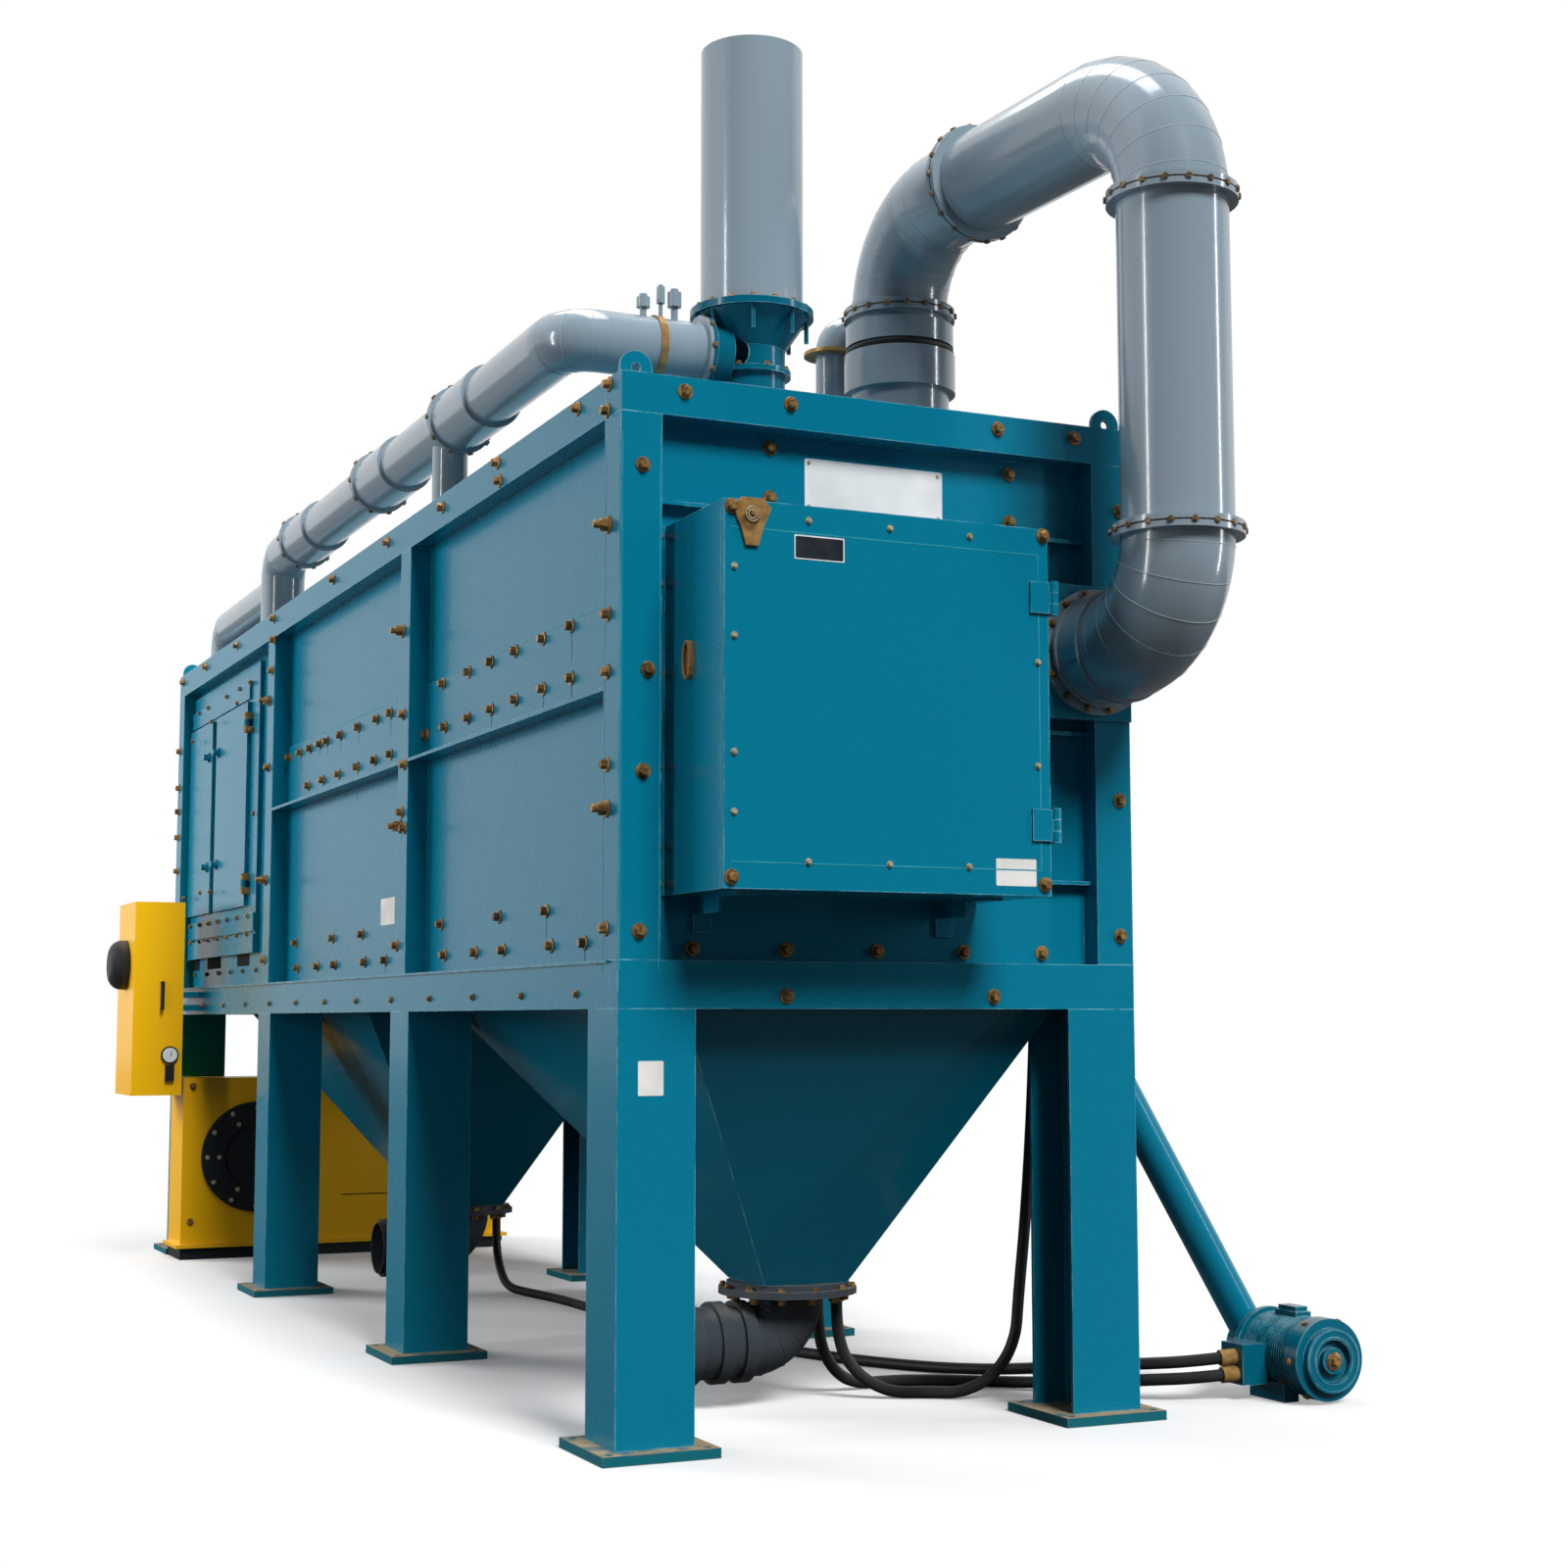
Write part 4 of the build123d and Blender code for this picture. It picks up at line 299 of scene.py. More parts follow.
def painted(name, shade, deep_shade, roughness, coat, worn_and_lit=(0.3, 0.6, 0.68, 1), wear_and_highlight_amount=0.9,
            reach=0.005, dust_amount=0.25, rust=0.2, peel_depth=0.00002,
            dust_colour=(0.34, 0.3, 0.22, 1), specular=0.35):
    """A sprayed enamel with clouds, dust on top faces, pale edges of wear and painted highlight, and rust
    spots.
    """
    material, tree, shader = new_material(name, Coat_Weight=coat, Coat_Roughness=0.1,
                                          Specular_IOR_Level=specular)
    base = group_node(tree, "paint_skin", Shade=shade, Deep_Shade=deep_shade, Clouds=0.1, Runs=0.06,
                      Roughness=roughness)
    dusty = group_node(tree, "settled_dust", Amount=dust_amount)
    edges = group_node(tree, "edge_wear_and_highlight", Amount=wear_and_highlight_amount, Reach=reach)
    rusty = group_node(tree, "rust_bloom", Amount=rust)
    colour = mix_colour(tree, dusty.outputs["Mask"], base.outputs["Color"], dust_colour)
    # The pale edge colour is worn paint and a painted highlight on the rounded edge.
    colour = mix_colour(tree, edges.outputs["Mask"], colour, worn_and_lit)
    colour = mix_colour(tree, rusty.outputs["Mask"], colour, rusty.outputs["Color"])
    tree.links.new(colour, shader.inputs["Base Color"])
    rough = base.outputs["Roughness"]
    for layer, clamp in ((dusty, False), (rusty, True)):
        dull = math_node(tree, "MULTIPLY", layer.outputs["Mask"], DULLING)
        rough = math_node(tree, "ADD", rough, dull, clamp=clamp)
    tree.links.new(rough, shader.inputs["Roughness"])
    add_bump(tree, shader, base.outputs["Height"], 0.5, peel_depth)
    return material


TEAL = (0.001, 0.175, 0.28, 1)
DEEP_TEAL = (0.001, 0.145, 0.238, 1)
FINISHES = {
    "teal_paint": painted("teal_enamel", TEAL, DEEP_TEAL, 0.27, 0.15, specular=0.28, rust=0.04),
    "grey_duct_paint": painted("duct_enamel", (0.245, 0.315, 0.37, 1), (0.21, 0.275, 0.325, 1), 0.2, 0.8,
                               worn_and_lit=(0.42, 0.46, 0.5, 1), wear_and_highlight_amount=0.4, dust_amount=0.04, rust=0.06,
                               peel_depth=0.0001, specular=0.5),
    "dark_outlet_paint": painted("outlet_enamel", (0.045, 0.055, 0.065, 1), (0.028, 0.034, 0.04, 1),
                                 0.42, 0.15, worn_and_lit=(0.13, 0.15, 0.16, 1), wear_and_highlight_amount=0.5, rust=0.35),
    "yellow_paint": painted("yellow_enamel", (0.95, 0.5, 0.002, 1), (0.84, 0.41, 0.002, 1), 0.34, 0.2,
                            worn_and_lit=(0.86, 0.6, 0.2, 1), wear_and_highlight_amount=0.5, dust_amount=0.2),
    "foot_plate_paint": painted("dusty_plate_enamel", (0.004, 0.13, 0.17, 1), (0.02, 0.1, 0.12, 1),
                                0.5, 0.05, worn_and_lit=(0.3, 0.22, 0.12, 1), reach=0.006, dust_amount=1.6,
                                rust=0.7, dust_colour=(0.36, 0.28, 0.17, 1)),
    "black_plastic": painted("black_moulding", (0.018, 0.02, 0.022, 1), (0.01, 0.011, 0.012, 1), 0.45, 0.0,
                             worn_and_lit=(0.06, 0.065, 0.07, 1), wear_and_highlight_amount=0.4, rust=0.0, dust_amount=0.15),
}
print("painted finishes", sorted(FINISHES))

# %% [markdown]
# Bolts, latch and glands are steel under a yellow passivated skin: a metal whose hue drifts from straw to
# brown, with rust in places. The hoses are black rubber with a faint grey bloom, and the bare plates are
# white enamel with a little grime.


# %% Metal, rubber and plate finishes
def passivated(name, light, dark, rust, metallic, roughness=0.34):
    """Yellow zinc steel: noise between two hues, pale edges of wear and painted highlight, and rust spots."""
    material, tree, shader = new_material(name, Roughness=roughness, Metallic=metallic)
    hue = ramp(tree, noise(tree, 35.0, detail=5.0), 0.3, 0.7)
    rusty = group_node(tree, "rust_bloom", Amount=rust)
    edges = group_node(tree, "edge_wear_and_highlight", Amount=0.6, Reach=0.0015)
    colour = mix_colour(tree, hue, light, dark)
    # The pale edge colour is worn zinc and a painted highlight on the rims.
    colour = mix_colour(tree, edges.outputs["Mask"], colour, (0.75, 0.6, 0.38, 1))
    colour = mix_colour(tree, rusty.outputs["Mask"], colour, rusty.outputs["Color"])
    tree.links.new(colour, shader.inputs["Base Color"])
    add_bump(tree, shader, noise(tree, 420.0, detail=3.0), 0.4, 0.0004)
    rough = math_node(tree, "ADD", math_node(tree, "MULTIPLY", hue, 0.22), roughness)
    tree.links.new(rough, shader.inputs["Roughness"])
    return material


def coated(name, light, dark, roughness, scale, specular=0.5):
    """A plain coat whose colour wanders between two shades over a fine grain."""
    material, tree, shader = new_material(name, Roughness=roughness, Specular_IOR_Level=specular)
    drift = ramp(tree, noise(tree, scale, detail=6.0), 0.3, 0.75)
    tree.links.new(mix_colour(tree, drift, light, dark), shader.inputs["Base Color"])
    rough = math_node(tree, "ADD", math_node(tree, "MULTIPLY", drift, 0.15), roughness)
    tree.links.new(rough, shader.inputs["Roughness"])
    add_bump(tree, shader, noise(tree, 30 * scale, detail=2.0), 0.5, 0.0002)
    return material


FINISHES["yellow_zinc"] = passivated("yellow_zinc_steel", (0.5, 0.3, 0.1, 1), (0.28, 0.155, 0.05, 1),
                                     rust=0.5, metallic=0.35)
FINISHES["black_rubber"] = coated("hose_rubber", (0.012, 0.012, 0.013, 1), (0.03, 0.03, 0.032, 1), 0.42, 6.0)
BOLT_STEEL = passivated("bolt_zinc", (0.55, 0.3, 0.09, 1), (0.11, 0.06, 0.025, 1),
                        rust=0.4, metallic=0.45, roughness=0.28)
SMALL_STEEL = passivated("screw_zinc", (0.7, 0.62, 0.45, 1), (0.36, 0.28, 0.16, 1),
                         rust=0.2, metallic=0.4, roughness=0.28)
RIM_BOLT_STEEL = passivated("rim_bolt_zinc", (0.3, 0.2, 0.1, 1), (0.07, 0.05, 0.03, 1), rust=0.4, metallic=0.3)
WHITE_PLATE = coated("white_plate_enamel", (0.82, 0.83, 0.83, 1), (0.66, 0.67, 0.66, 1), 0.3, 5.0)
LABEL = coated("bare_label", (0.8, 0.79, 0.76, 1), (0.62, 0.61, 0.58, 1), 0.45, 9.0)
DARK_PLATE = coated("dark_plate_enamel", (0.012, 0.016, 0.024, 1), (0.03, 0.035, 0.045, 1), 0.28, 12.0)
GRIME = coated("dried_drip", (0.001, 0.11, 0.17, 1), (0.01, 0.08, 0.11, 1), 0.6, 30.0, specular=0.2)
GASKET = coated("gasket_edge", (0.045, 0.03, 0.02, 1), (0.015, 0.012, 0.01, 1), 0.6, 20.0, specular=0.3)
# Near black: painted shade in the guard slots, and the dark seam across the fan casing.
SLOT_SHADE_AND_DARK_SEAM = coated("slot_shade_and_dark_seam", (0.004, 0.006, 0.008, 1), (0.01, 0.012, 0.014, 1), 0.7, 10.0, specular=0.2)
# A lighter copy of the duct grey: painted highlight on the weld beads of the bends.
SEAM_HIGHLIGHT = painted("weld_seam_painted_highlight", (0.36, 0.42, 0.47, 1), (0.2, 0.25, 0.29, 1), 0.35, 0.3, wear_and_highlight_amount=0.2)
# A lighter teal than the paint: the colour of painted highlight lines on edges and folds.
HIGHLIGHT_LINE = coated("painted_highlight_line_enamel", (0.03, 0.3, 0.4, 1), (0.01, 0.22, 0.31, 1), 0.3, 8.0)
# A darker copy of the teal paint: painted shade on the hoppers, whose faces look down, and on the stack's
# funnel; the motor wears it too.
SHADED_TEAL = painted("shaded_teal_enamel", (0.001, 0.115, 0.18, 1), (0.001, 0.095, 0.15, 1), 0.24, 0.3,
                      specular=0.3, rust=0.05)
SHADED_NODES = ("motor_", "front_hopper", "rear_hopper", "stack_base")

slots = {part["node"]: part["material_slot"] for part in frame["record"]["subparts"]}
for node, part in NODES.items():
    part.data.materials.clear()
    part.data.materials.append(SHADED_TEAL if node.startswith(SHADED_NODES) else FINISHES[slots[node]])
print("dressed", len(NODES), "nodes in", len(set(slots.values())), "finishes")


# %% [markdown]
# New pieces are surfaces worked out as whole arrays. `lathe` turns a profile round an axis, `bead_ring`
# makes a thin ring, and `wall_plate` a thin plate that lies on a wall. `repeat` copies one small shape to
# many places with its axis along a given direction. `piece` puts the arrays into a mesh and lets it ride
# on its body.

# %% Surfaces and pieces
def turns(count):
    """The angles of a full turn in equal steps: 2 * pi * k / count."""
    return np.linspace(0, 2 * math.pi, count, endpoint=False)


def quads(rows, sides, closed=False):
    """Faces between each ring of vertices and the next, and from the last to the first if closed."""
    row, column = np.meshgrid(np.arange(rows if closed else rows - 1), np.arange(sides), indexing="ij")
    here = row * sides + column
    around = row * sides + (column + 1) % sides
    rise = ((row + 1) % rows - row) * sides
    return np.stack([here, around, around + rise, here + rise], axis=-1).reshape(-1, 4)


def stacked(vertices, rows, sides):
    """A shape from rings of vertices that follow one another, with a face over each end."""
    last = np.arange((rows - 1) * sides, rows * sides)
    return vertices, quads(rows, sides).tolist() + [list(range(sides))[::-1], last.tolist()]


def lathe(profile, sides):
    """Vertices (radius * cos a, radius * sin a, height) for each profile row and angle a, with end caps."""
    profile = np.asarray(profile, float)
    ring = np.stack([np.cos(turns(sides)), np.sin(turns(sides))], axis=1)
    flat = profile[:, None, :1] * ring[None]
    height = np.broadcast_to(profile[:, 1][:, None, None], flat.shape[:2] + (1,))
    return stacked(np.concatenate([flat, height], axis=2).reshape(-1, 3), len(profile), sides)


def turned_to(direction):
    """A matrix whose columns are two side directions and the given one, which the shape's Z becomes."""
    out = np.asarray(direction, float) / np.linalg.norm(direction)
    helper = np.array([0.0, 0.0, 1.0]) if abs(out[2]) < 0.9 else np.array([1.0, 0.0, 0.0])
    side = np.cross(helper, out)
    side /= np.linalg.norm(side)
    return np.stack([side, np.cross(out, side), out], axis=1)


def repeat(shape, places, directions, size=1.0):
    """The shape's vertices, spun about Z, sized, turned to each direction and moved to each place."""
    vertices, faces = shape
    count = len(places)
    spins = RANDOM.uniform(0, math.pi, count)
    frames = np.stack([turned_to(direction) for direction in np.broadcast_to(directions, (count, 3))])
    cos, sin = np.cos(spins), np.sin(spins)
    zero, one = np.zeros(count), np.ones(count)
    spin = np.stack([np.stack([cos, -sin, zero], 1), np.stack([sin, cos, zero], 1),
                     np.stack([zero, zero, one], 1)], 1)
    moved = np.einsum("nij,vj->nvi", frames @ spin, vertices) * size + places[:, None, :]
    all_faces = [[index + n * len(vertices) for index in face] for n in range(count) for face in faces]
    return moved.reshape(-1, 3), all_faces


def joined(shapes):
    """Several (vertices, faces) shapes as one."""
    vertices, faces, start = [], [], 0
    for points, polygons in shapes:
        vertices.append(points)
        faces += [[index + start for index in face] for face in polygons]
        start += len(points)
    return np.concatenate(vertices), faces


def bead_ring(centre, wide, side, radius, bead, sides=56, round_sides=6):
    """A thin torus: centre + (cos a * wide + sin a * side) * radius, with a round section."""
    a = turns(sides)[:, None, None]
    b = turns(round_sides)[None, :, None]
    out = np.cos(a) * wide + np.sin(a) * side
    section = bead * (np.cos(b) * out + np.sin(b) * np.cross(wide, side))
    vertices = (place(centre)[0] + out * radius + section).reshape(-1, 3)
    return vertices, quads(sides, round_sides, closed=True)[:, [0, 3, 2, 1]].tolist()


def wall_plate(spot, direction, width, height, thick, corner, rim=0.0):
    """A thin plate with round corners: spot + x * level way + y * up + z * direction, with a rim if asked."""
    quarter = np.linspace(0, math.pi / 2, 6)
    centres = np.array([(1, 1), (-1, 1), (-1, -1), (1, -1)]) * (np.array([width, height]) / 2 - corner)
    arcs = [quarter + k * math.pi / 2 for k in range(4)]
    outline = np.concatenate([centre + corner * np.stack([np.cos(arc), np.sin(arc)], axis=1)
                              for centre, arc in zip(centres, arcs)])
    levels = [(outline, 0.0), (outline, thick)]
    if rim:
        inward = outline * (1 - rim / np.array([width / 2, height / 2]))
        levels += [(inward, thick), (inward, thick * 0.6)]
    flat = np.concatenate([np.column_stack([ring, np.full(len(ring), rise)]) for ring, rise in levels])
    axes = np.stack([np.cross(UP, direction), UP, direction])
    return stacked(flat @ axes + place(spot)[0], len(levels), len(outline))


def piece(name, shape, material, body="frame", smooth=None):
    """A mesh object at the origin with the shape's faces, its finish and its body."""
    vertices, faces = shape
    mesh = bpy.data.meshes.new(name)
    mesh.from_pydata(np.asarray(vertices).tolist(), [], faces)
    mesh.materials.append(material)
    mesh.update()
    built = bpy.data.objects.new(name, mesh)
    bpy.context.scene.collection.objects.link(built)
    if smooth is not None:
        mesh.shade_smooth()
        mesh.set_sharp_from_angle(angle=math.radians(smooth))
    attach(built, body)


def bolts(name, shapes, steel=BOLT_STEEL, body="frame"):
    """Bolts, nuts and washers as one piece of zinc steel, whose edges over 35 degrees stay sharp."""
    piece(name, joined(shapes), steel, body, smooth=35)


# %% [markdown]
# A bolt on this machine is a hexagon head on a round washer, both with broken edges. At the posts a few
# are longer: a stud with its nut stands proud. Rivets are low domes. Each shape has a few dozen faces,
# because hundreds of them are set.

# %% Bolt shapes
HEAD_RADIUS = 0.0155
WASHER_RADIUS = 0.0245


def bolt_shape(head=HEAD_RADIUS, washer=WASHER_RADIUS, tall=0.019):
    """A washer of 14 sides with a rounded rim, and a six-sided head with a turned top."""
    disc = lathe([(washer * 0.96, -0.002), (washer, 0.001), (washer, 0.003), (washer * 0.9, 0.0048)], 14)
    hexagon = lathe([(head, 0.0), (head, tall * 0.8), (head * 0.84, tall), (head * 0.3, tall)], 6)
    hexagon = (hexagon[0] + np.array([0, 0, 0.0045]), hexagon[1])
    return joined([disc, hexagon])


def stud_shape(reach=0.05):
    """A wide washer, a tall nut and the end of a stud."""
    disc = lathe([(0.028, -0.002), (0.0285, 0.003), (0.026, 0.006)], 16)
    nut = lathe([(0.02, 0.005), (0.021, 0.008), (0.021, 0.026), (0.018, 0.03)], 6)
    end = lathe([(0.0125, 0.028), (0.0125, reach * 0.92), (0.0105, reach)], 12)
    return joined([disc, nut, end])


def dome_shape(radius, height):
    """A low dome: radius*cos t across and height*sin t up, for t from 0 to just under a quarter turn."""
    t = np.linspace(0, math.pi / 2 * 0.93, 6)
    rows = np.stack([radius * np.cos(t), height * np.sin(t)], axis=1)
    return lathe(np.concatenate([[[radius, -0.001]], rows]), 12)


BOLT = bolt_shape()
SMALL_BOLT = bolt_shape(0.0095, 0.0135, 0.009)
STUD = stud_shape()
RIM_BOLT = lathe([(0.0115, -0.003), (0.0115, 0.006), (0.009, 0.0085)], 6)
RIVET = dome_shape(0.009, 0.005)


def grid(xs, ys, zs):
    """Every drawing place with one of the xs, one of the ys and one of the zs."""
    x, y, z = np.meshgrid(xs, ys, zs, indexing="ij")
    return np.stack([x.ravel(), y.ravel(), z.ravel()], axis=1)


print("bolt faces", len(BOLT[1]), "stud faces", len(STUD[1]))

# %% [markdown]
# **Front wall bolts.** The posts and the top beam are drawn up with bolts at the places that the
# photograph shows; the sheet behind has a row along its foot and four near its top.

# %% Front wall bolts
front_face = [(0.072, 0, 2.944), (0.091, 0, 2.32), (0.077, 0, 2.012), (0.067, 0, 1.535),
              (1.772, 0, 2.955), (1.755, 0, 1.988), (1.751, 0, 1.544)]
front_face += [(x, 0, 3.185) for x in (0.209, 0.566, 1.31, 1.6)]
front_face += [(x, 0, 1.345) for x in (0.55, 1.274)]
front_sheet = [(x, RECESS, z) for x in (0.53, 1.395) for z in (3.06, 2.9)]
front_sheet += [(x, RECESS, 1.487) for x in (0.27, 0.585, 0.9, 1.21, 1.5)]
cabinet_strip = [(0.156, RECESS - 0.008, z) for z in (2.745, 2.596, 2.321, 2.035, 1.791, 1.68)]
back_face = [(x, LENGTH, z) for x in (0.067, WIDTH - 0.067) for z in (2.95, 2.4, 1.95, 1.54)]
back_face += [(x, LENGTH, 3.185) for x in np.linspace(0.25, 1.55, 4)]
back_sheet = [(x, LENGTH - RECESS, z) for x in np.linspace(0.27, 1.53, 5) for z in (1.487, 3.06)]

end_bolts = [repeat(BOLT, place(front_face), FRONT), repeat(BOLT, place(front_sheet), FRONT),
             repeat(SMALL_BOLT, place(cabinet_strip), FRONT), repeat(BOLT, place(back_face), BACK),
             repeat(BOLT, place(back_sheet), BACK)]
bolts("end_wall_bolts", end_bolts)
print("end wall bolts", len(front_face) + len(front_sheet) + len(back_face) + len(back_sheet))

# %% [markdown]
# **Side wall bolts.** The two front bays have two rows of bolts each on the cover over their splice strip,
# and two looser rows along their foot. The posts carry studs and bolts, and the ring beam small ones. The
# right side is hidden in the photograph and repeats the left.

# %% Side wall bolts
SPLICE_ROWS = {
    2.545: (0.62, 0.9, 1.19, 1.464, 1.732, 2.055, 2.31),
    2.374: (0.616, 0.895, 1.184, 1.458, 1.728, 2.022, 2.27),
    2.52: (2.792, 3.003, 3.304, 3.605, 3.851, 3.979, 4.165, 4.357, 4.576),
    2.35: (2.782, 3.024, 3.309, 3.628, 3.911, 4.19)}
COVER_FACE = RECESS - 0.0095
FOOT_ROW = np.array([0.19, 0.5, 0.82, 1.32, 1.64, 2.02])
POST_BOLTS = [
    (0.1, 2.497), (0.1, 2.32), (0.1, 2.038), (0.1, 1.545), (2.351, 2.459), (2.326, 2.26), (2.357, 2.076),
    (2.312, 2.011), (2.398, 1.561), (4.679, 2.95), (4.72, 2.484), (4.72, 1.56), (7.0, 2.798), (7.0, 2.588),
    (7.0, 2.454), (7.0, 2.307), (7.0, 2.116)]
TOP_BOLTS = [
    (0.099, 3.209), (0.115, 3.13), (0.38, 3.2), (1.199, 3.205), (1.175, 3.135), (1.857, 3.179),
    (2.62, 3.19), (3.5, 3.19), (4.66, 3.2), (4.65, 3.094), (5.5, 3.19), (6.3, 3.19), (6.95, 3.19)]


def side_places(x, into):
    """Places of the bolts on one side wall: rows on the splice covers and along the foot of each bay."""
    rows = [grid(x + into * COVER_FACE, spots, height) for height, spots in SPLICE_ROWS.items()]
    sheet = x + into * RECESS
    for start in (0.0, BAY):
        rows.append(grid(sheet, start + FOOT_ROW, 1.515))
        rows.append(grid(sheet, start + FOOT_ROW[[0, 2, 3, 5]] + 0.05, 1.632))
    return np.concatenate(rows)


left_rows = side_places(0.0, 1)
right_rows = side_places(WIDTH, -1)
left_posts = np.array([(0.0, y, z) for y, z in POST_BOLTS])
left_studs = np.array([(0.0, 0.1, 2.771), (0.0, 0.1, 1.905), (0.0, BAY + 0.03, 2.792), (0.0, BAY + 0.03, 2.023),
                       (0.0, 2 * BAY + 0.03, 2.808), (0.0, 2 * BAY + 0.03, 1.943)])
beam_bolts = grid(0.0, np.linspace(0.35, LENGTH - 0.35, 13), 1.352)
top_bolts = np.array([(0.0, y, z) for y, z in TOP_BOLTS])
mirror = np.array([-1.0, 1.0, 1.0])
other = np.array([WIDTH, 0.0, 0.0])
side_bolts = [repeat(BOLT, place(left_rows), LEFT), repeat(BOLT, place(right_rows), RIGHT)]
for row, shape in ((left_posts, BOLT), (left_studs, STUD), (beam_bolts, SMALL_BOLT), (top_bolts, BOLT)):
    side_bolts.append(repeat(shape, place(row), LEFT))
    side_bolts.append(repeat(shape, place(row * mirror + other), RIGHT))
bolts("side_wall_bolts", side_bolts)
print("side wall bolts", 2 * (len(left_rows) + len(left_posts) + len(left_studs)))

# %% [markdown]
# **Drips.** Under many bolts a thin dark line has run down and dried. Each is a narrow tongue that stands
# half a millimetre proud, wide at the bolt and thin at its end, with its own length.

# %% Drips below the bolts
DRIP_ROWS = 7
WET_SHARE = 0.35


def drips(places, direction, out=0.0006):
    """One tongue a place on a wall: its half width falls as 1 - 0.85 * t ** 0.7 along its run t from 0 to 1."""
    run = np.linspace(0, 1, DRIP_ROWS)
    half = 0.5 * (1 - 0.85 * run ** 0.7)
    shapes = []
    for spot in places:
        width = RANDOM.uniform(0.003, 0.007)
        length = RANDOM.uniform(0.03, 0.12)
        start = spot + direction * out - UP * WASHER_RADIUS * 0.9
        line = start - np.outer(run * length, UP)
        edge = np.outer(half * width, np.cross(UP, direction))
        back = 2 * out * direction
        rows = np.stack([line + edge, line - edge, line - edge - back, line + edge - back], axis=1)
        shapes.append(stacked(rows.reshape(-1, 3), DRIP_ROWS, 4))
    return joined(shapes)


wet_left = place(np.concatenate([left_rows, left_posts, left_studs]))
chosen = RANDOM.random(len(wet_left)) < WET_SHARE
piece("bolt_drips", drips(wet_left[chosen], LEFT), GRIME)
print("drips", int(chosen.sum()))

# %% [markdown]
# **Flange bolts.** Each pair of duct flanges is drawn together by bolts set round its rim, and the flanges
# on the wall, the roof and the outlets by bolts on their faces. A ring of heads is one shape repeated round
# a circle.

# %% Flange bolts
def bolt_circle(centre, axis, radius, count, shape=SMALL_BOLT, outwards=False):
    """Heads at centre + radius * (cos a * u + sin a * v), along the axis or outwards on a rim."""
    u, v, _ = turned_to(axis).T
    angle = turns(count)[:, None]
    out = np.cos(angle) * u + np.sin(angle) * v
    return repeat(shape, place(centre)[0] + radius * out, out if outwards else axis)


SPIGOT = np.array([1.53, 1.1])
SPIGOT_TOP = 3.89
DOWN_DUCT = np.array([1.66, -0.5])
DOWN_HIGH, DOWN_LOW = 3.85, 2.78
RUN_HEIGHT = 4.24
STACK = (0.88, 1.0)
OUTLETS = [(0.9, 0.75), (0.9, 4.4)]
MANIFOLD_X, MANIFOLD_Z = 0.18, 3.622
run_way = np.append((DOWN_DUCT - SPIGOT) / np.linalg.norm(DOWN_DUCT - SPIGOT), 0.0)
run_flange = np.append(SPIGOT, RUN_HEIGHT) + run_way * 0.53
DUCT_RIMS = [((*SPIGOT, SPIGOT_TOP), UP), (run_flange, run_way),
             ((*DOWN_DUCT, DOWN_HIGH), UP), ((*DOWN_DUCT, DOWN_LOW), UP)]
COUPLINGS = [((MANIFOLD_X, y, MANIFOLD_Z), BACK) for y in (2.24, 3.43, 4.81)]
COUPLINGS.append(((0.68, 1.0, MANIFOLD_Z), RIGHT))
STACK_RINGS = [(3.797, 0.203, 16), (ROOF + 0.021, 0.195, 12), (3.575, 0.1295, 8)]

rings = [bolt_circle(centre, axis, 0.207, 18, RIM_BOLT, outwards=True) for centre, axis in DUCT_RIMS]
rings += [bolt_circle(centre, axis, 0.134, 10, RIM_BOLT, outwards=True) for centre, axis in COUPLINGS]
bolts("flange_rim_bolts", rings, RIM_BOLT_STEEL)
faces = [bolt_circle((DOWN_DUCT[0], -0.033, 2.47), FRONT, 0.193, 14)]
faces += [bolt_circle((*STACK, z), UP, radius, count) for z, radius, count in STACK_RINGS]
bolts("flange_face_bolts", faces)
outlet_rings = []
for outlet in OUTLETS:
    outlet_rings.append(bolt_circle((*outlet, 0.388), UP, 0.2185, 12))
    outlet_rings.append(bolt_circle((*outlet, 0.366), DOWN, 0.19, 12, BOLT))
bolts("outlet_flange_bolts", outlet_rings)
print("flange rings", len(rings) + len(faces) + len(outlet_rings))

# %% [markdown]
# **Cabinet.** Small screws run round the pan door, and larger bolts hold its corners.

# %% Cabinet screws
DOOR_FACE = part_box("cabinet_latch")[1].y - CORNER[1]
LATCH_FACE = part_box("cabinet_latch")[0].y - CORNER[1]
door_screws = [(0.207, z) for z in (2.577, 2.375, 2.037, 1.865)]
door_screws += [(x, 2.73) for x in (0.445, 0.714, 0.985)]
door_screws += [(x, 1.727) for x in (0.442, 0.707, 0.974)]
door_screws += [(1.221, 2.359), (1.217, 2.04)]
corners = [(0.199, 2.752), (1.243, 2.754), (0.199, 1.678), (1.237, 1.679)]
screws = repeat(SMALL_BOLT, place([(x, DOOR_FACE, z) for x, z in door_screws]), FRONT, size=0.8)
corner_bolts = repeat(BOLT, place([(x, DOOR_FACE, z) for x, z in corners]), FRONT, size=0.95)
bolts("cabinet_door_screws", [screws], SMALL_STEEL, "cabinet_door")
bolts("cabinet_corner_bolts", [corner_bolts], body="cabinet_door")
print("door face at", round(DOOR_FACE, 4))

# %% [markdown]
# ** Splice covers.** A flat cover lies over the splice strip of each front bay, on both sides. On the left,
# fine pale lines along the covers' upper edges and the edges of the corner post are painted highlights.

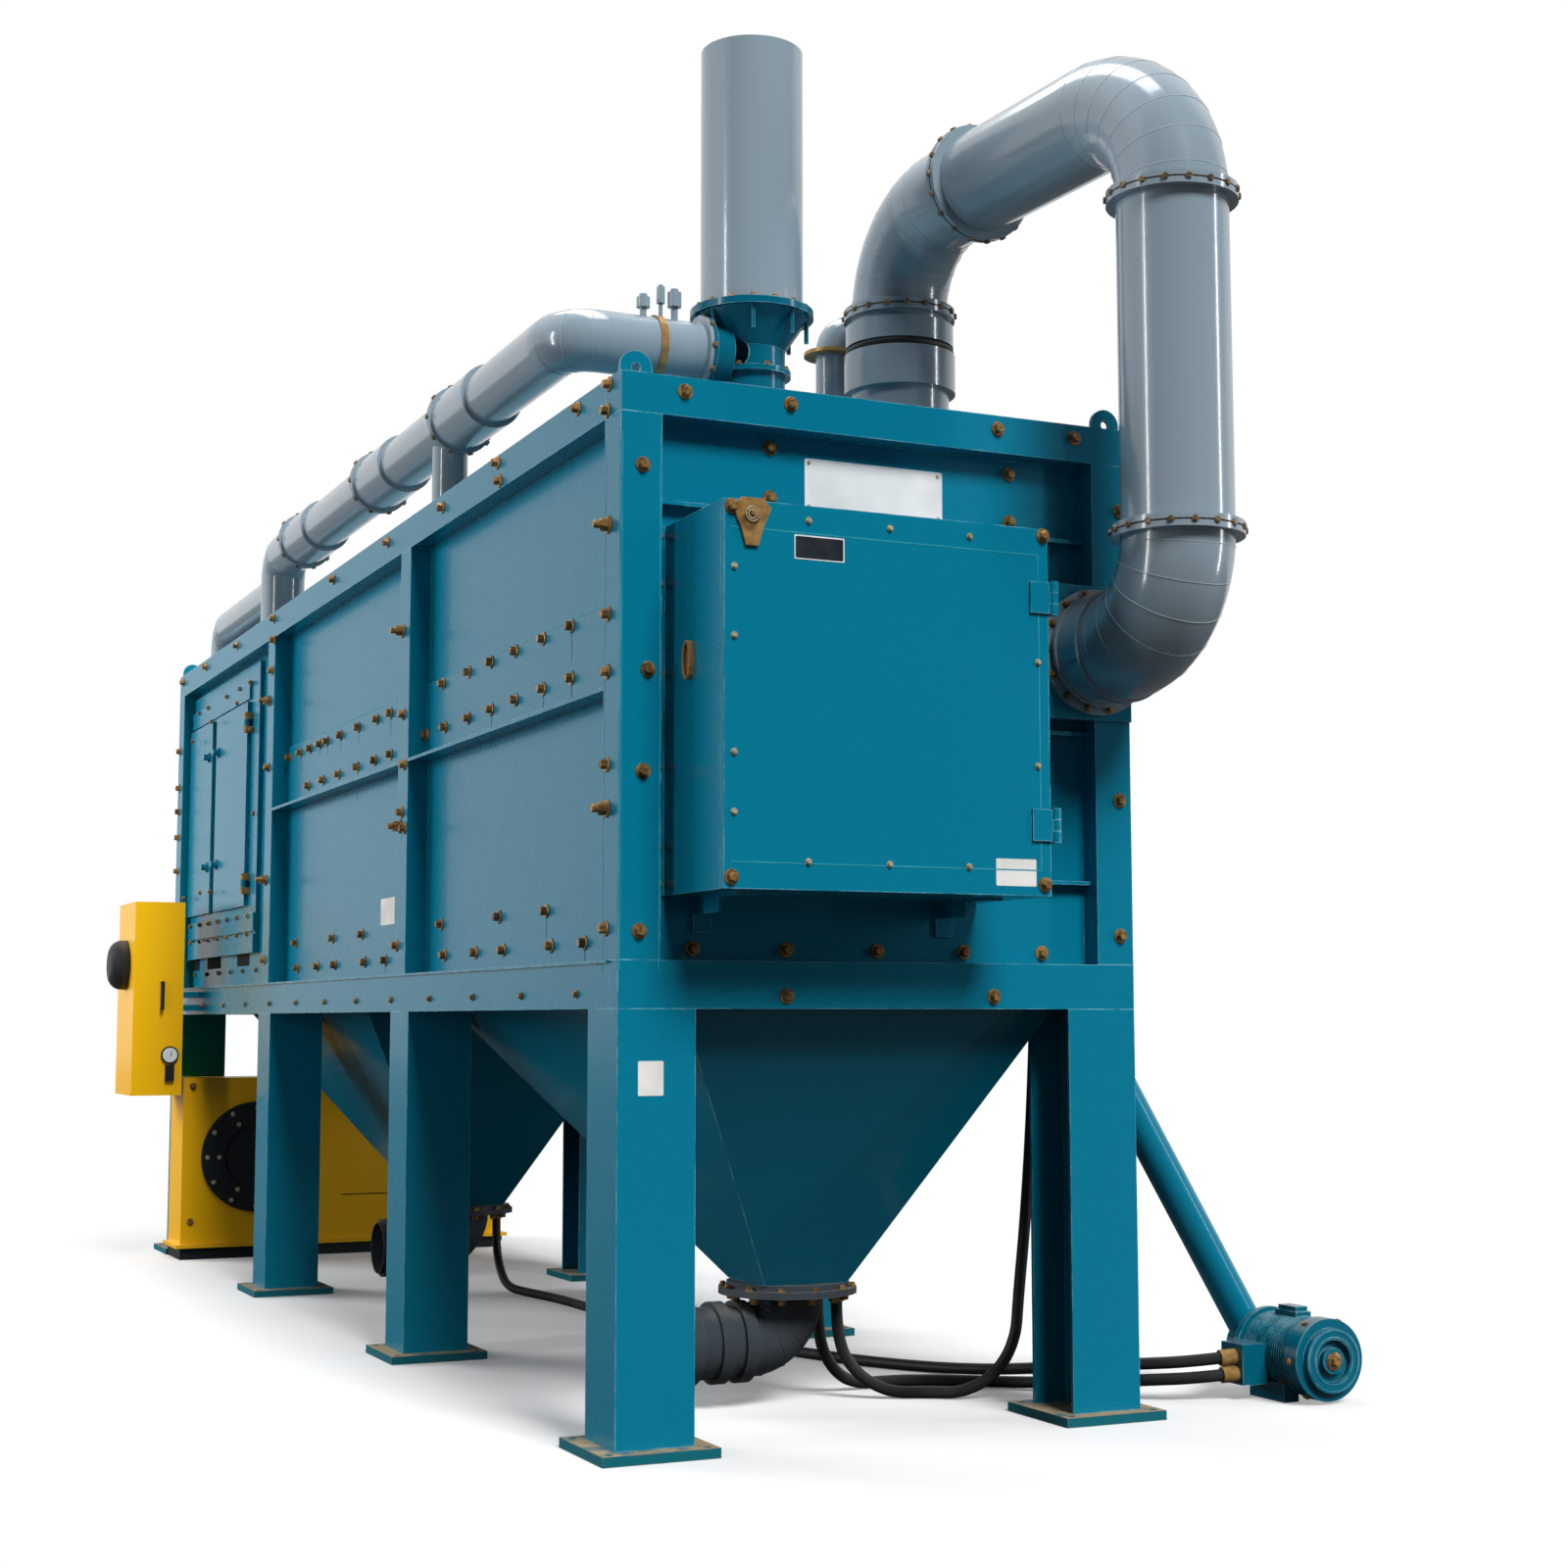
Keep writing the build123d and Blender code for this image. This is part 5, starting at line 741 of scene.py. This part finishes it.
# %% Splice covers and painted highlight lines
covers, highlight_lines = [], []
for start, end in ((POST, BAY - POST / 2), (BAY + POST / 2, 2 * BAY - POST / 2)):
    middle, long = (start + end) / 2, end - start - 0.004
    for x, way in ((RECESS, LEFT), (WIDTH - RECESS, RIGHT)):
        covers.append(wall_plate((x, middle, 2.43), way, long, 0.276, RECESS - COVER_FACE, 0.002))
    # Pale lines on the covers' upper edges and the post's edges: painted highlights.
    highlight_lines.append(wall_plate((COVER_FACE, middle, 2.566), LEFT, long, 0.0035, 0.0012, 0.0015))
piece("splice_covers", joined(covers), FINISHES["teal_paint"])
for x, y, way in ((0.0, 0.128, LEFT), (0.0, 0.008, LEFT), (0.006, 0.0, FRONT), (0.129, 0.0, FRONT)):
    highlight_lines.append(wall_plate((x, y, 2.23), way, 0.0035, 1.62, 0.0008, 0.0015))
piece("edge_highlight_lines", joined(highlight_lines), HIGHLIGHT_LINE)
print("covers", len(covers), "lines", len(highlight_lines))

# %% [markdown]
# ** Plates and labels.** A bare white plate is riveted to the front wall, a small dark plate with a pale
# rim sits on the door, and the labels are blank. Two fine rings mark the latch's boss, and pale lines
# along the door's folds are painted highlights, where the folded sheet catches the light.

# %% Plates, labels and folds
PLATE_AT = np.array([0.897, RECESS, 2.956])
white_plate = wall_plate(PLATE_AT, FRONT, 0.494, 0.168, 0.003, 0.008, rim=0.004)
piece("number_plate", white_plate, WHITE_PLATE)
rivets = PLATE_AT + grid((-0.232, 0.232), -0.003, (-0.07, 0.07))
piece("number_plate_rivets", repeat(RIVET, place(rivets), FRONT, size=0.7), SMALL_STEEL,
      smooth=60)
DARK_AT = (0.48, DOOR_FACE, 2.65)
piece("door_name_plate_rim", wall_plate(DARK_AT, FRONT, 0.163, 0.072, 0.0012, 0.004), WHITE_PLATE,
      "cabinet_door")
piece("door_name_plate", wall_plate(DARK_AT, FRONT, 0.155, 0.064, 0.0022, 0.003), DARK_PLATE,
      "cabinet_door")
boss_rings = [bead_ring((0.25, LATCH_FACE + 0.001, 2.727), RIGHT, UP, radius, 0.0022, sides=32)
              for radius in (0.021, 0.013)]
piece("latch_boss_rings", joined(boss_rings), SMALL_STEEL, "cabinet_door", smooth=60)
# Pale lines along the door's folds: painted highlights.
FOLDS = [(0.71, 2.692, 1.03, 0.0045), (0.71, 1.722, 1.03, 0.0045), (1.225, 2.207, 0.0045, 0.966)]
fold_highlights = [wall_plate((x, DOOR_FACE, z), FRONT, wide, tall, 0.0008, 0.0018) for x, z, wide, tall in FOLDS]
piece("door_fold_highlights", joined(fold_highlights), HIGHLIGHT_LINE, "cabinet_door")
for name, spot, way, wide, tall, body in (
        ("door_label", (1.137, DOOR_FACE, 1.714), FRONT, 0.14, 0.082, "cabinet_door"),
        ("side_label", (RECESS, 2.83, 1.7135), LEFT, 0.21, 0.109, "frame"),
        ("leg_label", (0.1065, 0.0, 1.101), FRONT, 0.081, 0.102, "frame")):
    piece(name, wall_plate(spot, way, wide, tall, 0.0006, 0.004), LABEL, body)
print("rivets", len(rivets), "folds", len(fold_highlights))

# %% [markdown]
# ** Side doors.** Bolts hold the strips above and below the leaves and the edges of the leaves. The ones on
# the near leaf ride on it. Flat dark plates stand for the slots in the lowest strip of the wall: painted shade
# where they open.

# %% Side door bolts and slots
FRAME_LOW, FRAME_HIGH = (np.array(corner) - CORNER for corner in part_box("side_door_frame"))
NEAR_LOW, NEAR_HIGH = (np.array(corner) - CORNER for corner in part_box("side_door_near"))
FAR_LOW, FAR_HIGH = (np.array(corner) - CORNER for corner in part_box("side_door_far"))
FRAME_FACE = FRAME_LOW[0]
HEADER = min(2.985, FRAME_HIGH[2] - 0.03)
door_spots = np.array([
    (5.48, 2.89), (5.347, 2.742), (6.652, 2.819), (5.234, 2.304), (4.856, 2.499), (4.843, 2.139),
    (6.067, 1.953), (6.33, 1.961), (6.798, 1.952), (6.13, 2.87)])
door_spots = door_spots[(door_spots[:, 0] > FRAME_LOW[1]) & (door_spots[:, 0] < FRAME_HIGH[1])]
sill = grid(FRAME_FACE, np.linspace(5.33, 6.8, 7), (1.705, 1.795))
header_row = grid(FRAME_FACE, (5.374, 5.633, 5.956, 6.454, 6.7), HEADER)
low_row = grid(RECESS, np.linspace(4.95, 6.8, 7), 1.525)


def inside(spots, low, high):
    """Which (y, z) spots lie on the face of a leaf with the given box."""
    return ((spots > low[1:]) & (spots < high[1:])).all(axis=1)


on_near, on_far = inside(door_spots, NEAR_LOW, NEAR_HIGH), inside(door_spots, FAR_LOW, FAR_HIGH)
loose = np.column_stack([np.where(on_far, FAR_LOW[0], FRAME_FACE), door_spots])[~on_near]
door_rows = [repeat(SMALL_BOLT, place(row), LEFT) for row in (sill, header_row, low_row, loose)]
bolts("side_door_bolts", door_rows)
if on_near.any():
    leaf_spots = np.column_stack([np.full(on_near.sum(), NEAR_LOW[0]), door_spots[on_near]])
    bolts("side_leaf_bolts", [repeat(SMALL_BOLT, place(leaf_spots), LEFT)], body="side_door")
# Flat dark plates on the wall: painted shade where the slots open.
slot_shades = [wall_plate((RECESS, y, 1.6), LEFT, wide, 0.1, 0.002, 0.01)
              for y, wide in ((5.57, 0.28), (6.31, 0.35), (6.8, 0.19))]
piece("guard_slot_shades", joined(slot_shades), SLOT_SHADE_AND_DARK_SEAM)
print("frame", FRAME_LOW.round(3), FRAME_HIGH.round(3), "near", NEAR_LOW.round(3), NEAR_HIGH.round(3))

# %% [markdown]
# ** Bend seams.** A duct bend is put together from short sections, and a thin weld bead runs where two meet.
# Each is a fine ring round the pipe, in the plane that passes through the bend's own axis; its pale colour is
# a painted highlight on the bead. The same rings, darker, are the gaskets between flanges.


# %% Bend seams and gaskets
def bend_seams(start, into, out_of, radius, pipe, count, bead=0.0016):
    """Rings along a bend that starts at a place and turns between two directions."""
    hub = np.asarray(start, float) + radius * out_of
    beads = []
    for angle in (np.arange(count) + 0.5) * math.pi / 2 / count:
        outward = math.sin(angle) * into - math.cos(angle) * out_of
        beads.append(bead_ring(hub + radius * outward, outward, np.cross(into, out_of), pipe, bead))
    return beads


DUCT = 0.1775
TOP_BEND = 0.39
top_start = np.append(DOWN_DUCT, RUN_HEIGHT) - run_way * TOP_BEND
seams = bend_seams((*SPIGOT, SPIGOT_TOP), UP, run_way, 0.35, DUCT, 6)
seams += bend_seams(top_start, run_way, DOWN, TOP_BEND, DUCT, 7)
seams += bend_seams((*DOWN_DUCT, DOWN_LOW), DOWN, BACK, 0.31, DUCT, 6)
seams += bend_seams((0.3, 1.0, MANIFOLD_Z), LEFT, BACK, 0.12, 0.108, 3)
seams += bend_seams((MANIFOLD_X, 5.17, MANIFOLD_Z), BACK, DOWN, 0.12, 0.108, 3)
seams += bend_seams((MANIFOLD_X, 6.495, 3.452), BACK, DOWN, 0.125, 0.094, 3)
piece("duct_seams", joined(seams), SEAM_HIGHLIGHT, smooth=60)
outlet_seams = []
for outlet in OUTLETS:
    outlet_seams += bend_seams((*outlet, 0.366), DOWN, LEFT, 0.152, 0.118, 5, bead=0.002)
piece("outlet_seams", joined(outlet_seams), FINISHES["dark_outlet_paint"], smooth=60)
rim_lines = [bead_ring(centre, *turned_to(axis).T[:2], radius, bead)
             for rims, radius, bead in ((DUCT_RIMS, 0.206, 0.0038), (COUPLINGS, 0.133, 0.003))
             for centre, axis in rims]
piece("flange_gaskets", joined(rim_lines), GASKET, smooth=60)
gasket = bead_ring((*SPIGOT, SPIGOT_TOP - 0.14), RIGHT, BACK, 0.19, 0.0135, round_sides=10)
piece("spigot_gasket", gasket, FINISHES["black_rubber"], smooth=60)
print("seams", len(seams) + len(outlet_seams))

# %% [markdown]
# **Hoses.** Three black hoses of 40 mm run from the motor and the housing to the hopper outlets. Each is a
# smooth NURBS line whose control points are the route's own points, with a round section.

# %% Hoses
HOSE_DIAMETER = 0.04
HOSE_ROUTES = {
    "motor_front": [
        (2.243, 0.180, 0.084), (2.135, 0.199, 0.078), (2.037, 0.268, 0.070), (1.940, 0.383, 0.056),
        (1.853, 0.525, 0.038), (1.745, 0.690, 0.023), (1.545, 0.862, 0.0205), (1.382, 0.928, 0.0205),
        (1.2273, 0.9096, 0.0205), (1.1212, 0.8718, 0.0854), (1.060, 0.850, 0.198), (1.060, 0.850, 0.328)],
    "housing_front": [
        (1.722, 0.500, 1.266), (1.712, 0.501, 1.010), (1.680, 0.503, 0.600), (1.650, 0.506, 0.340),
        (1.640, 0.509, 0.198), (1.580, 0.533, 0.0854), (1.477, 0.5765, 0.0205), (1.366, 0.651, 0.0205),
        (1.2505, 0.6953, 0.0205), (1.1424, 0.7268, 0.0854), (1.080, 0.745, 0.198), (1.080, 0.745, 0.328)],
    "motor_rear": [
        (2.243, 0.190, 0.139), (2.135, 0.213, 0.131), (2.041, 0.287, 0.121), (1.949, 0.405, 0.108),
        (1.879, 0.537, 0.088), (1.830, 0.689, 0.066), (1.795, 0.835, 0.046), (1.755, 0.970, 0.030),
        (1.650, 1.150, 0.0205), (1.490, 1.420, 0.0205), (1.365, 1.780, 0.0205), (1.255, 2.250, 0.0205),
        (1.195, 2.750, 0.0205), (1.150, 3.270, 0.0205), (1.142, 3.720, 0.0205), (1.088, 4.040, 0.0205),
        (1.081, 4.2625, 0.0205), (1.079, 4.375, 0.0854), (1.078, 4.440, 0.198), (1.078, 4.440, 0.328)],
}
for name, route in HOSE_ROUTES.items():
    line = bpy.data.curves.new(f"hose_line_{name}", "CURVE")
    line.dimensions = "3D"
    line.bevel_depth = HOSE_DIAMETER / 2
    line.bevel_resolution = 5
    line.resolution_u = 14
    line.use_fill_caps = True
    spline = line.splines.new("NURBS")
    spline.points.add(len(route) - 1)
    points = np.column_stack([place(route), np.ones(len(route))])
    spline.points.foreach_set("co", points.ravel())
    spline.order_u = 3
    spline.use_endpoint_u = True
    line.materials.append(FINISHES["black_rubber"])
    hose = bpy.data.objects.new(f"black_hose_{name}", line)
    bpy.context.scene.collection.objects.link(hose)
    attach(hose, "frame")
    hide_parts(f"hose_{name}")
    print("hose", name, "points", len(route))

# %% [markdown]
# **Motor and fan.** The end bell has pressed rings round a brass bolt. The fan's inlet has bolts round its
# throat, a seam crosses the casing, and the panel has a white dial with a dark needle.

# %% Motor, fan and panel details
MOTOR_AXIS = np.array([2.516, -0.07, 0.145])
centre_bolt = repeat(bolt_shape(0.017, 0.03, 0.016), place(MOTOR_AXIS), FRONT)
bell_bolts = bolt_circle(MOTOR_AXIS + 0.06 * BACK, BACK, 0.1355, 6, RIM_BOLT, outwards=True)
foot_bolts = repeat(BOLT, place(grid((2.412, 2.62), (0.08, 0.21), 0.06)), UP, size=0.5)
bolts("motor_bolts", [centre_bolt, bell_bolts, foot_bolts])
bell_rings = [bead_ring(MOTOR_AXIS, RIGHT, UP, radius, 0.0025) for radius in (0.1, 0.078)]
piece("bell_rings", joined(bell_rings), FINISHES["teal_paint"], smooth=60)
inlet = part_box("fan_inlet")
inlet_at = ((inlet[0].x + inlet[1].x) / 2 - CORNER[0], inlet[0].y - CORNER[1], (inlet[0].z + inlet[1].z) / 2)
inlet_bolts = [bolt_circle(inlet_at, FRONT, radius, count) for radius, count in ((0.265, 12), (0.2, 6))]
bolts("fan_inlet_bolts", inlet_bolts, SMALL_STEEL)
CASING_FACE = inlet[1].y - CORNER[1]
casing_bolts = repeat(BOLT, place(grid((0.0, 1.68), CASING_FACE, (0.2, 0.92))), FRONT, size=0.8)
bolts("fan_casing_bolts", [casing_bolts])
casing_seam = wall_plate((1.27, CASING_FACE, 0.32), FRONT, 0.9, 0.006, 0.0012, 0.002)
piece("fan_casing_seam", casing_seam, SLOT_SHADE_AND_DARK_SEAM)
DIAL = np.array([-0.165, 6.1858, 1.092])
NEEDLE = DIAL + (0.006, -0.0016, 0.006)
dial = repeat(lathe([(0.038, 0.0), (0.038, 0.001), (0.037, 0.0015)], 40), place(DIAL), FRONT)
piece("dial_face", dial, WHITE_PLATE)
piece("dial_needle", wall_plate(NEEDLE, FRONT, 0.004, 0.03, 0.0008, 0.0015), DARK_PLATE)
print("inlet at", [round(v, 3) for v in inlet_at])

# %% [markdown]
# **Stage.** A wide pale floor takes the soft shadow and fades to white away from the machine. The world is
# white to the camera. Reflections see a studio with white walls at the sides and the back and a dark end in
# front, which keeps the front wall's colour deep, and as light it is only a dim grey.

# %% Floor and world
FLOOR_HALF = 60.0
FLOOR_LEVEL = -0.0005
WHITE = (1, 1, 1, 1)
floor_mesh = bpy.data.meshes.new("floor")
floor_mesh.from_pydata([(x * FLOOR_HALF, y * FLOOR_HALF, FLOOR_LEVEL)
                        for x, y in ((-1, -1), (1, -1), (1, 1), (-1, 1))], [], [(0, 1, 2, 3)])
floor = bpy.data.objects.new("floor", floor_mesh)
bpy.context.scene.collection.objects.link(floor)
floor_material, tree, floor_shader = new_material("studio_floor", Roughness=0.7, Specular_IOR_Level=0.2)
to_camera = add_node(tree, "ShaderNodeLightPath").outputs["Is Camera Ray"]
tree.links.new(mix_colour(tree, to_camera, (0.07, 0.07, 0.07, 1), (0.9, 0.9, 0.9, 1)),
               floor_shader.inputs["Base Color"])
glow = add_node(tree, "ShaderNodeEmission", {"Color": WHITE})
coordinates = add_node(tree, "ShaderNodeTexCoord")
squeezed = add_node(tree, "ShaderNodeMapping", {"Scale": (1.0, 0.5, 1.0)})
distance = add_node(tree, "ShaderNodeVectorMath", operation="LENGTH")
tree.links.new(coordinates.outputs["Object"], squeezed.inputs["Vector"])
tree.links.new(squeezed.outputs["Vector"], distance.inputs[0])
away = math_node(tree, "MULTIPLY", ramp(tree, distance.outputs["Value"], 1.5, 3.1), 0.92)
faded = math_node(tree, "MULTIPLY", math_node(tree, "ADD", away, 0.08, clamp=True), to_camera)
blend = add_node(tree, "ShaderNodeMixShader")
tree.links.new(faded, blend.inputs["Fac"])
tree.links.new(floor_shader.outputs[0], blend.inputs[1])
tree.links.new(glow.outputs[0], blend.inputs[2])
tree.links.new(blend.outputs[0], tree.nodes["Material Output"].inputs["Surface"])
floor_mesh.materials.append(floor_material)
world = bpy.data.worlds.new("studio")
bpy.context.scene.world = world
world.use_nodes = True
tree = world.node_tree
background = tree.nodes["Background"]
paths = add_node(tree, "ShaderNodeLightPath")
bearing = add_node(tree, "ShaderNodeTexCoord")
axes = add_node(tree, "ShaderNodeSeparateXYZ")
tree.links.new(bearing.outputs["Generated"], axes.inputs[0])
dark_front = ramp(tree, axes.outputs["Y"], -0.35, 0.15)
walls = mix_colour(tree, dark_front, (0.006, 0.006, 0.007, 1), (0.72, 0.72, 0.72, 1))
seen = mix_colour(tree, paths.outputs["Is Glossy Ray"], (0.115, 0.12, 0.125, 1), walls)
plain = math_node(tree, "MAXIMUM", paths.outputs["Is Camera Ray"], paths.outputs["Is Transmission Ray"])
tree.links.new(mix_colour(tree, plain, seen, WHITE), background.inputs["Color"])
bpy.context.scene.view_settings.view_transform = "Standard"

# %% [markdown]
# **Lamps.** The key is a broad sun from the front and above. A lamp far back on the left lights the side
# wall. Neither shows in reflections. One lamp lies overhead, and two tall strips draw the bright lines
# down the ducts.


# %% Lamps
def aimed(direction):
    """The turn of a lamp that shines along the direction."""
    return direction.to_track_quat("-Z", "Y").to_matrix().to_4x4()


def soft_lamp(name, spot, target, width, height, power):
    """An area lamp that looks at a target; places are on the machine's drawing."""
    lamp = bpy.data.objects.new(name, bpy.data.lights.new(name, "AREA"))
    lamp.data.shape = "RECTANGLE"
    lamp.data.size = width
    lamp.data.size_y = height
    lamp.data.energy = power
    start, end = (Vector(place(point)[0]) for point in (spot, target))
    lamp.matrix_world = Matrix.Translation(start) @ aimed(end - start)
    bpy.context.scene.collection.objects.link(lamp)
    return lamp


MACHINE_MIDDLE = (0.9, 2.5, 1.8)
DUCT_MIDDLE = (1.2, 0.5, 3.4)
KEY_WAY = Vector((-0.05, 0.72, -0.69))
key = bpy.data.objects.new("key", bpy.data.lights.new("key", "SUN"))
key.data.energy = 3.65
key.data.angle = math.radians(22)
key.matrix_world = aimed(KEY_WAY)
key.visible_glossy = False
bpy.context.scene.collection.objects.link(key)
left_back = soft_lamp("left_back", (-10.0, 13.0, 5.0), (0.0, 2.5, 2.0), 8.0, 6.0, 1900)
left_back.visible_glossy = False
soft_lamp("top", (0.9, 3.0, 11.0), MACHINE_MIDDLE, 2.5, 9.0, 420)
soft_lamp("left_strip", (-9.0, 0.2, 4.0), DUCT_MIDDLE, 0.6, 7.0, 210)
soft_lamp("right_strip", (10.0, -5.0, 4.0), DUCT_MIDDLE, 0.6, 7.0, 210)
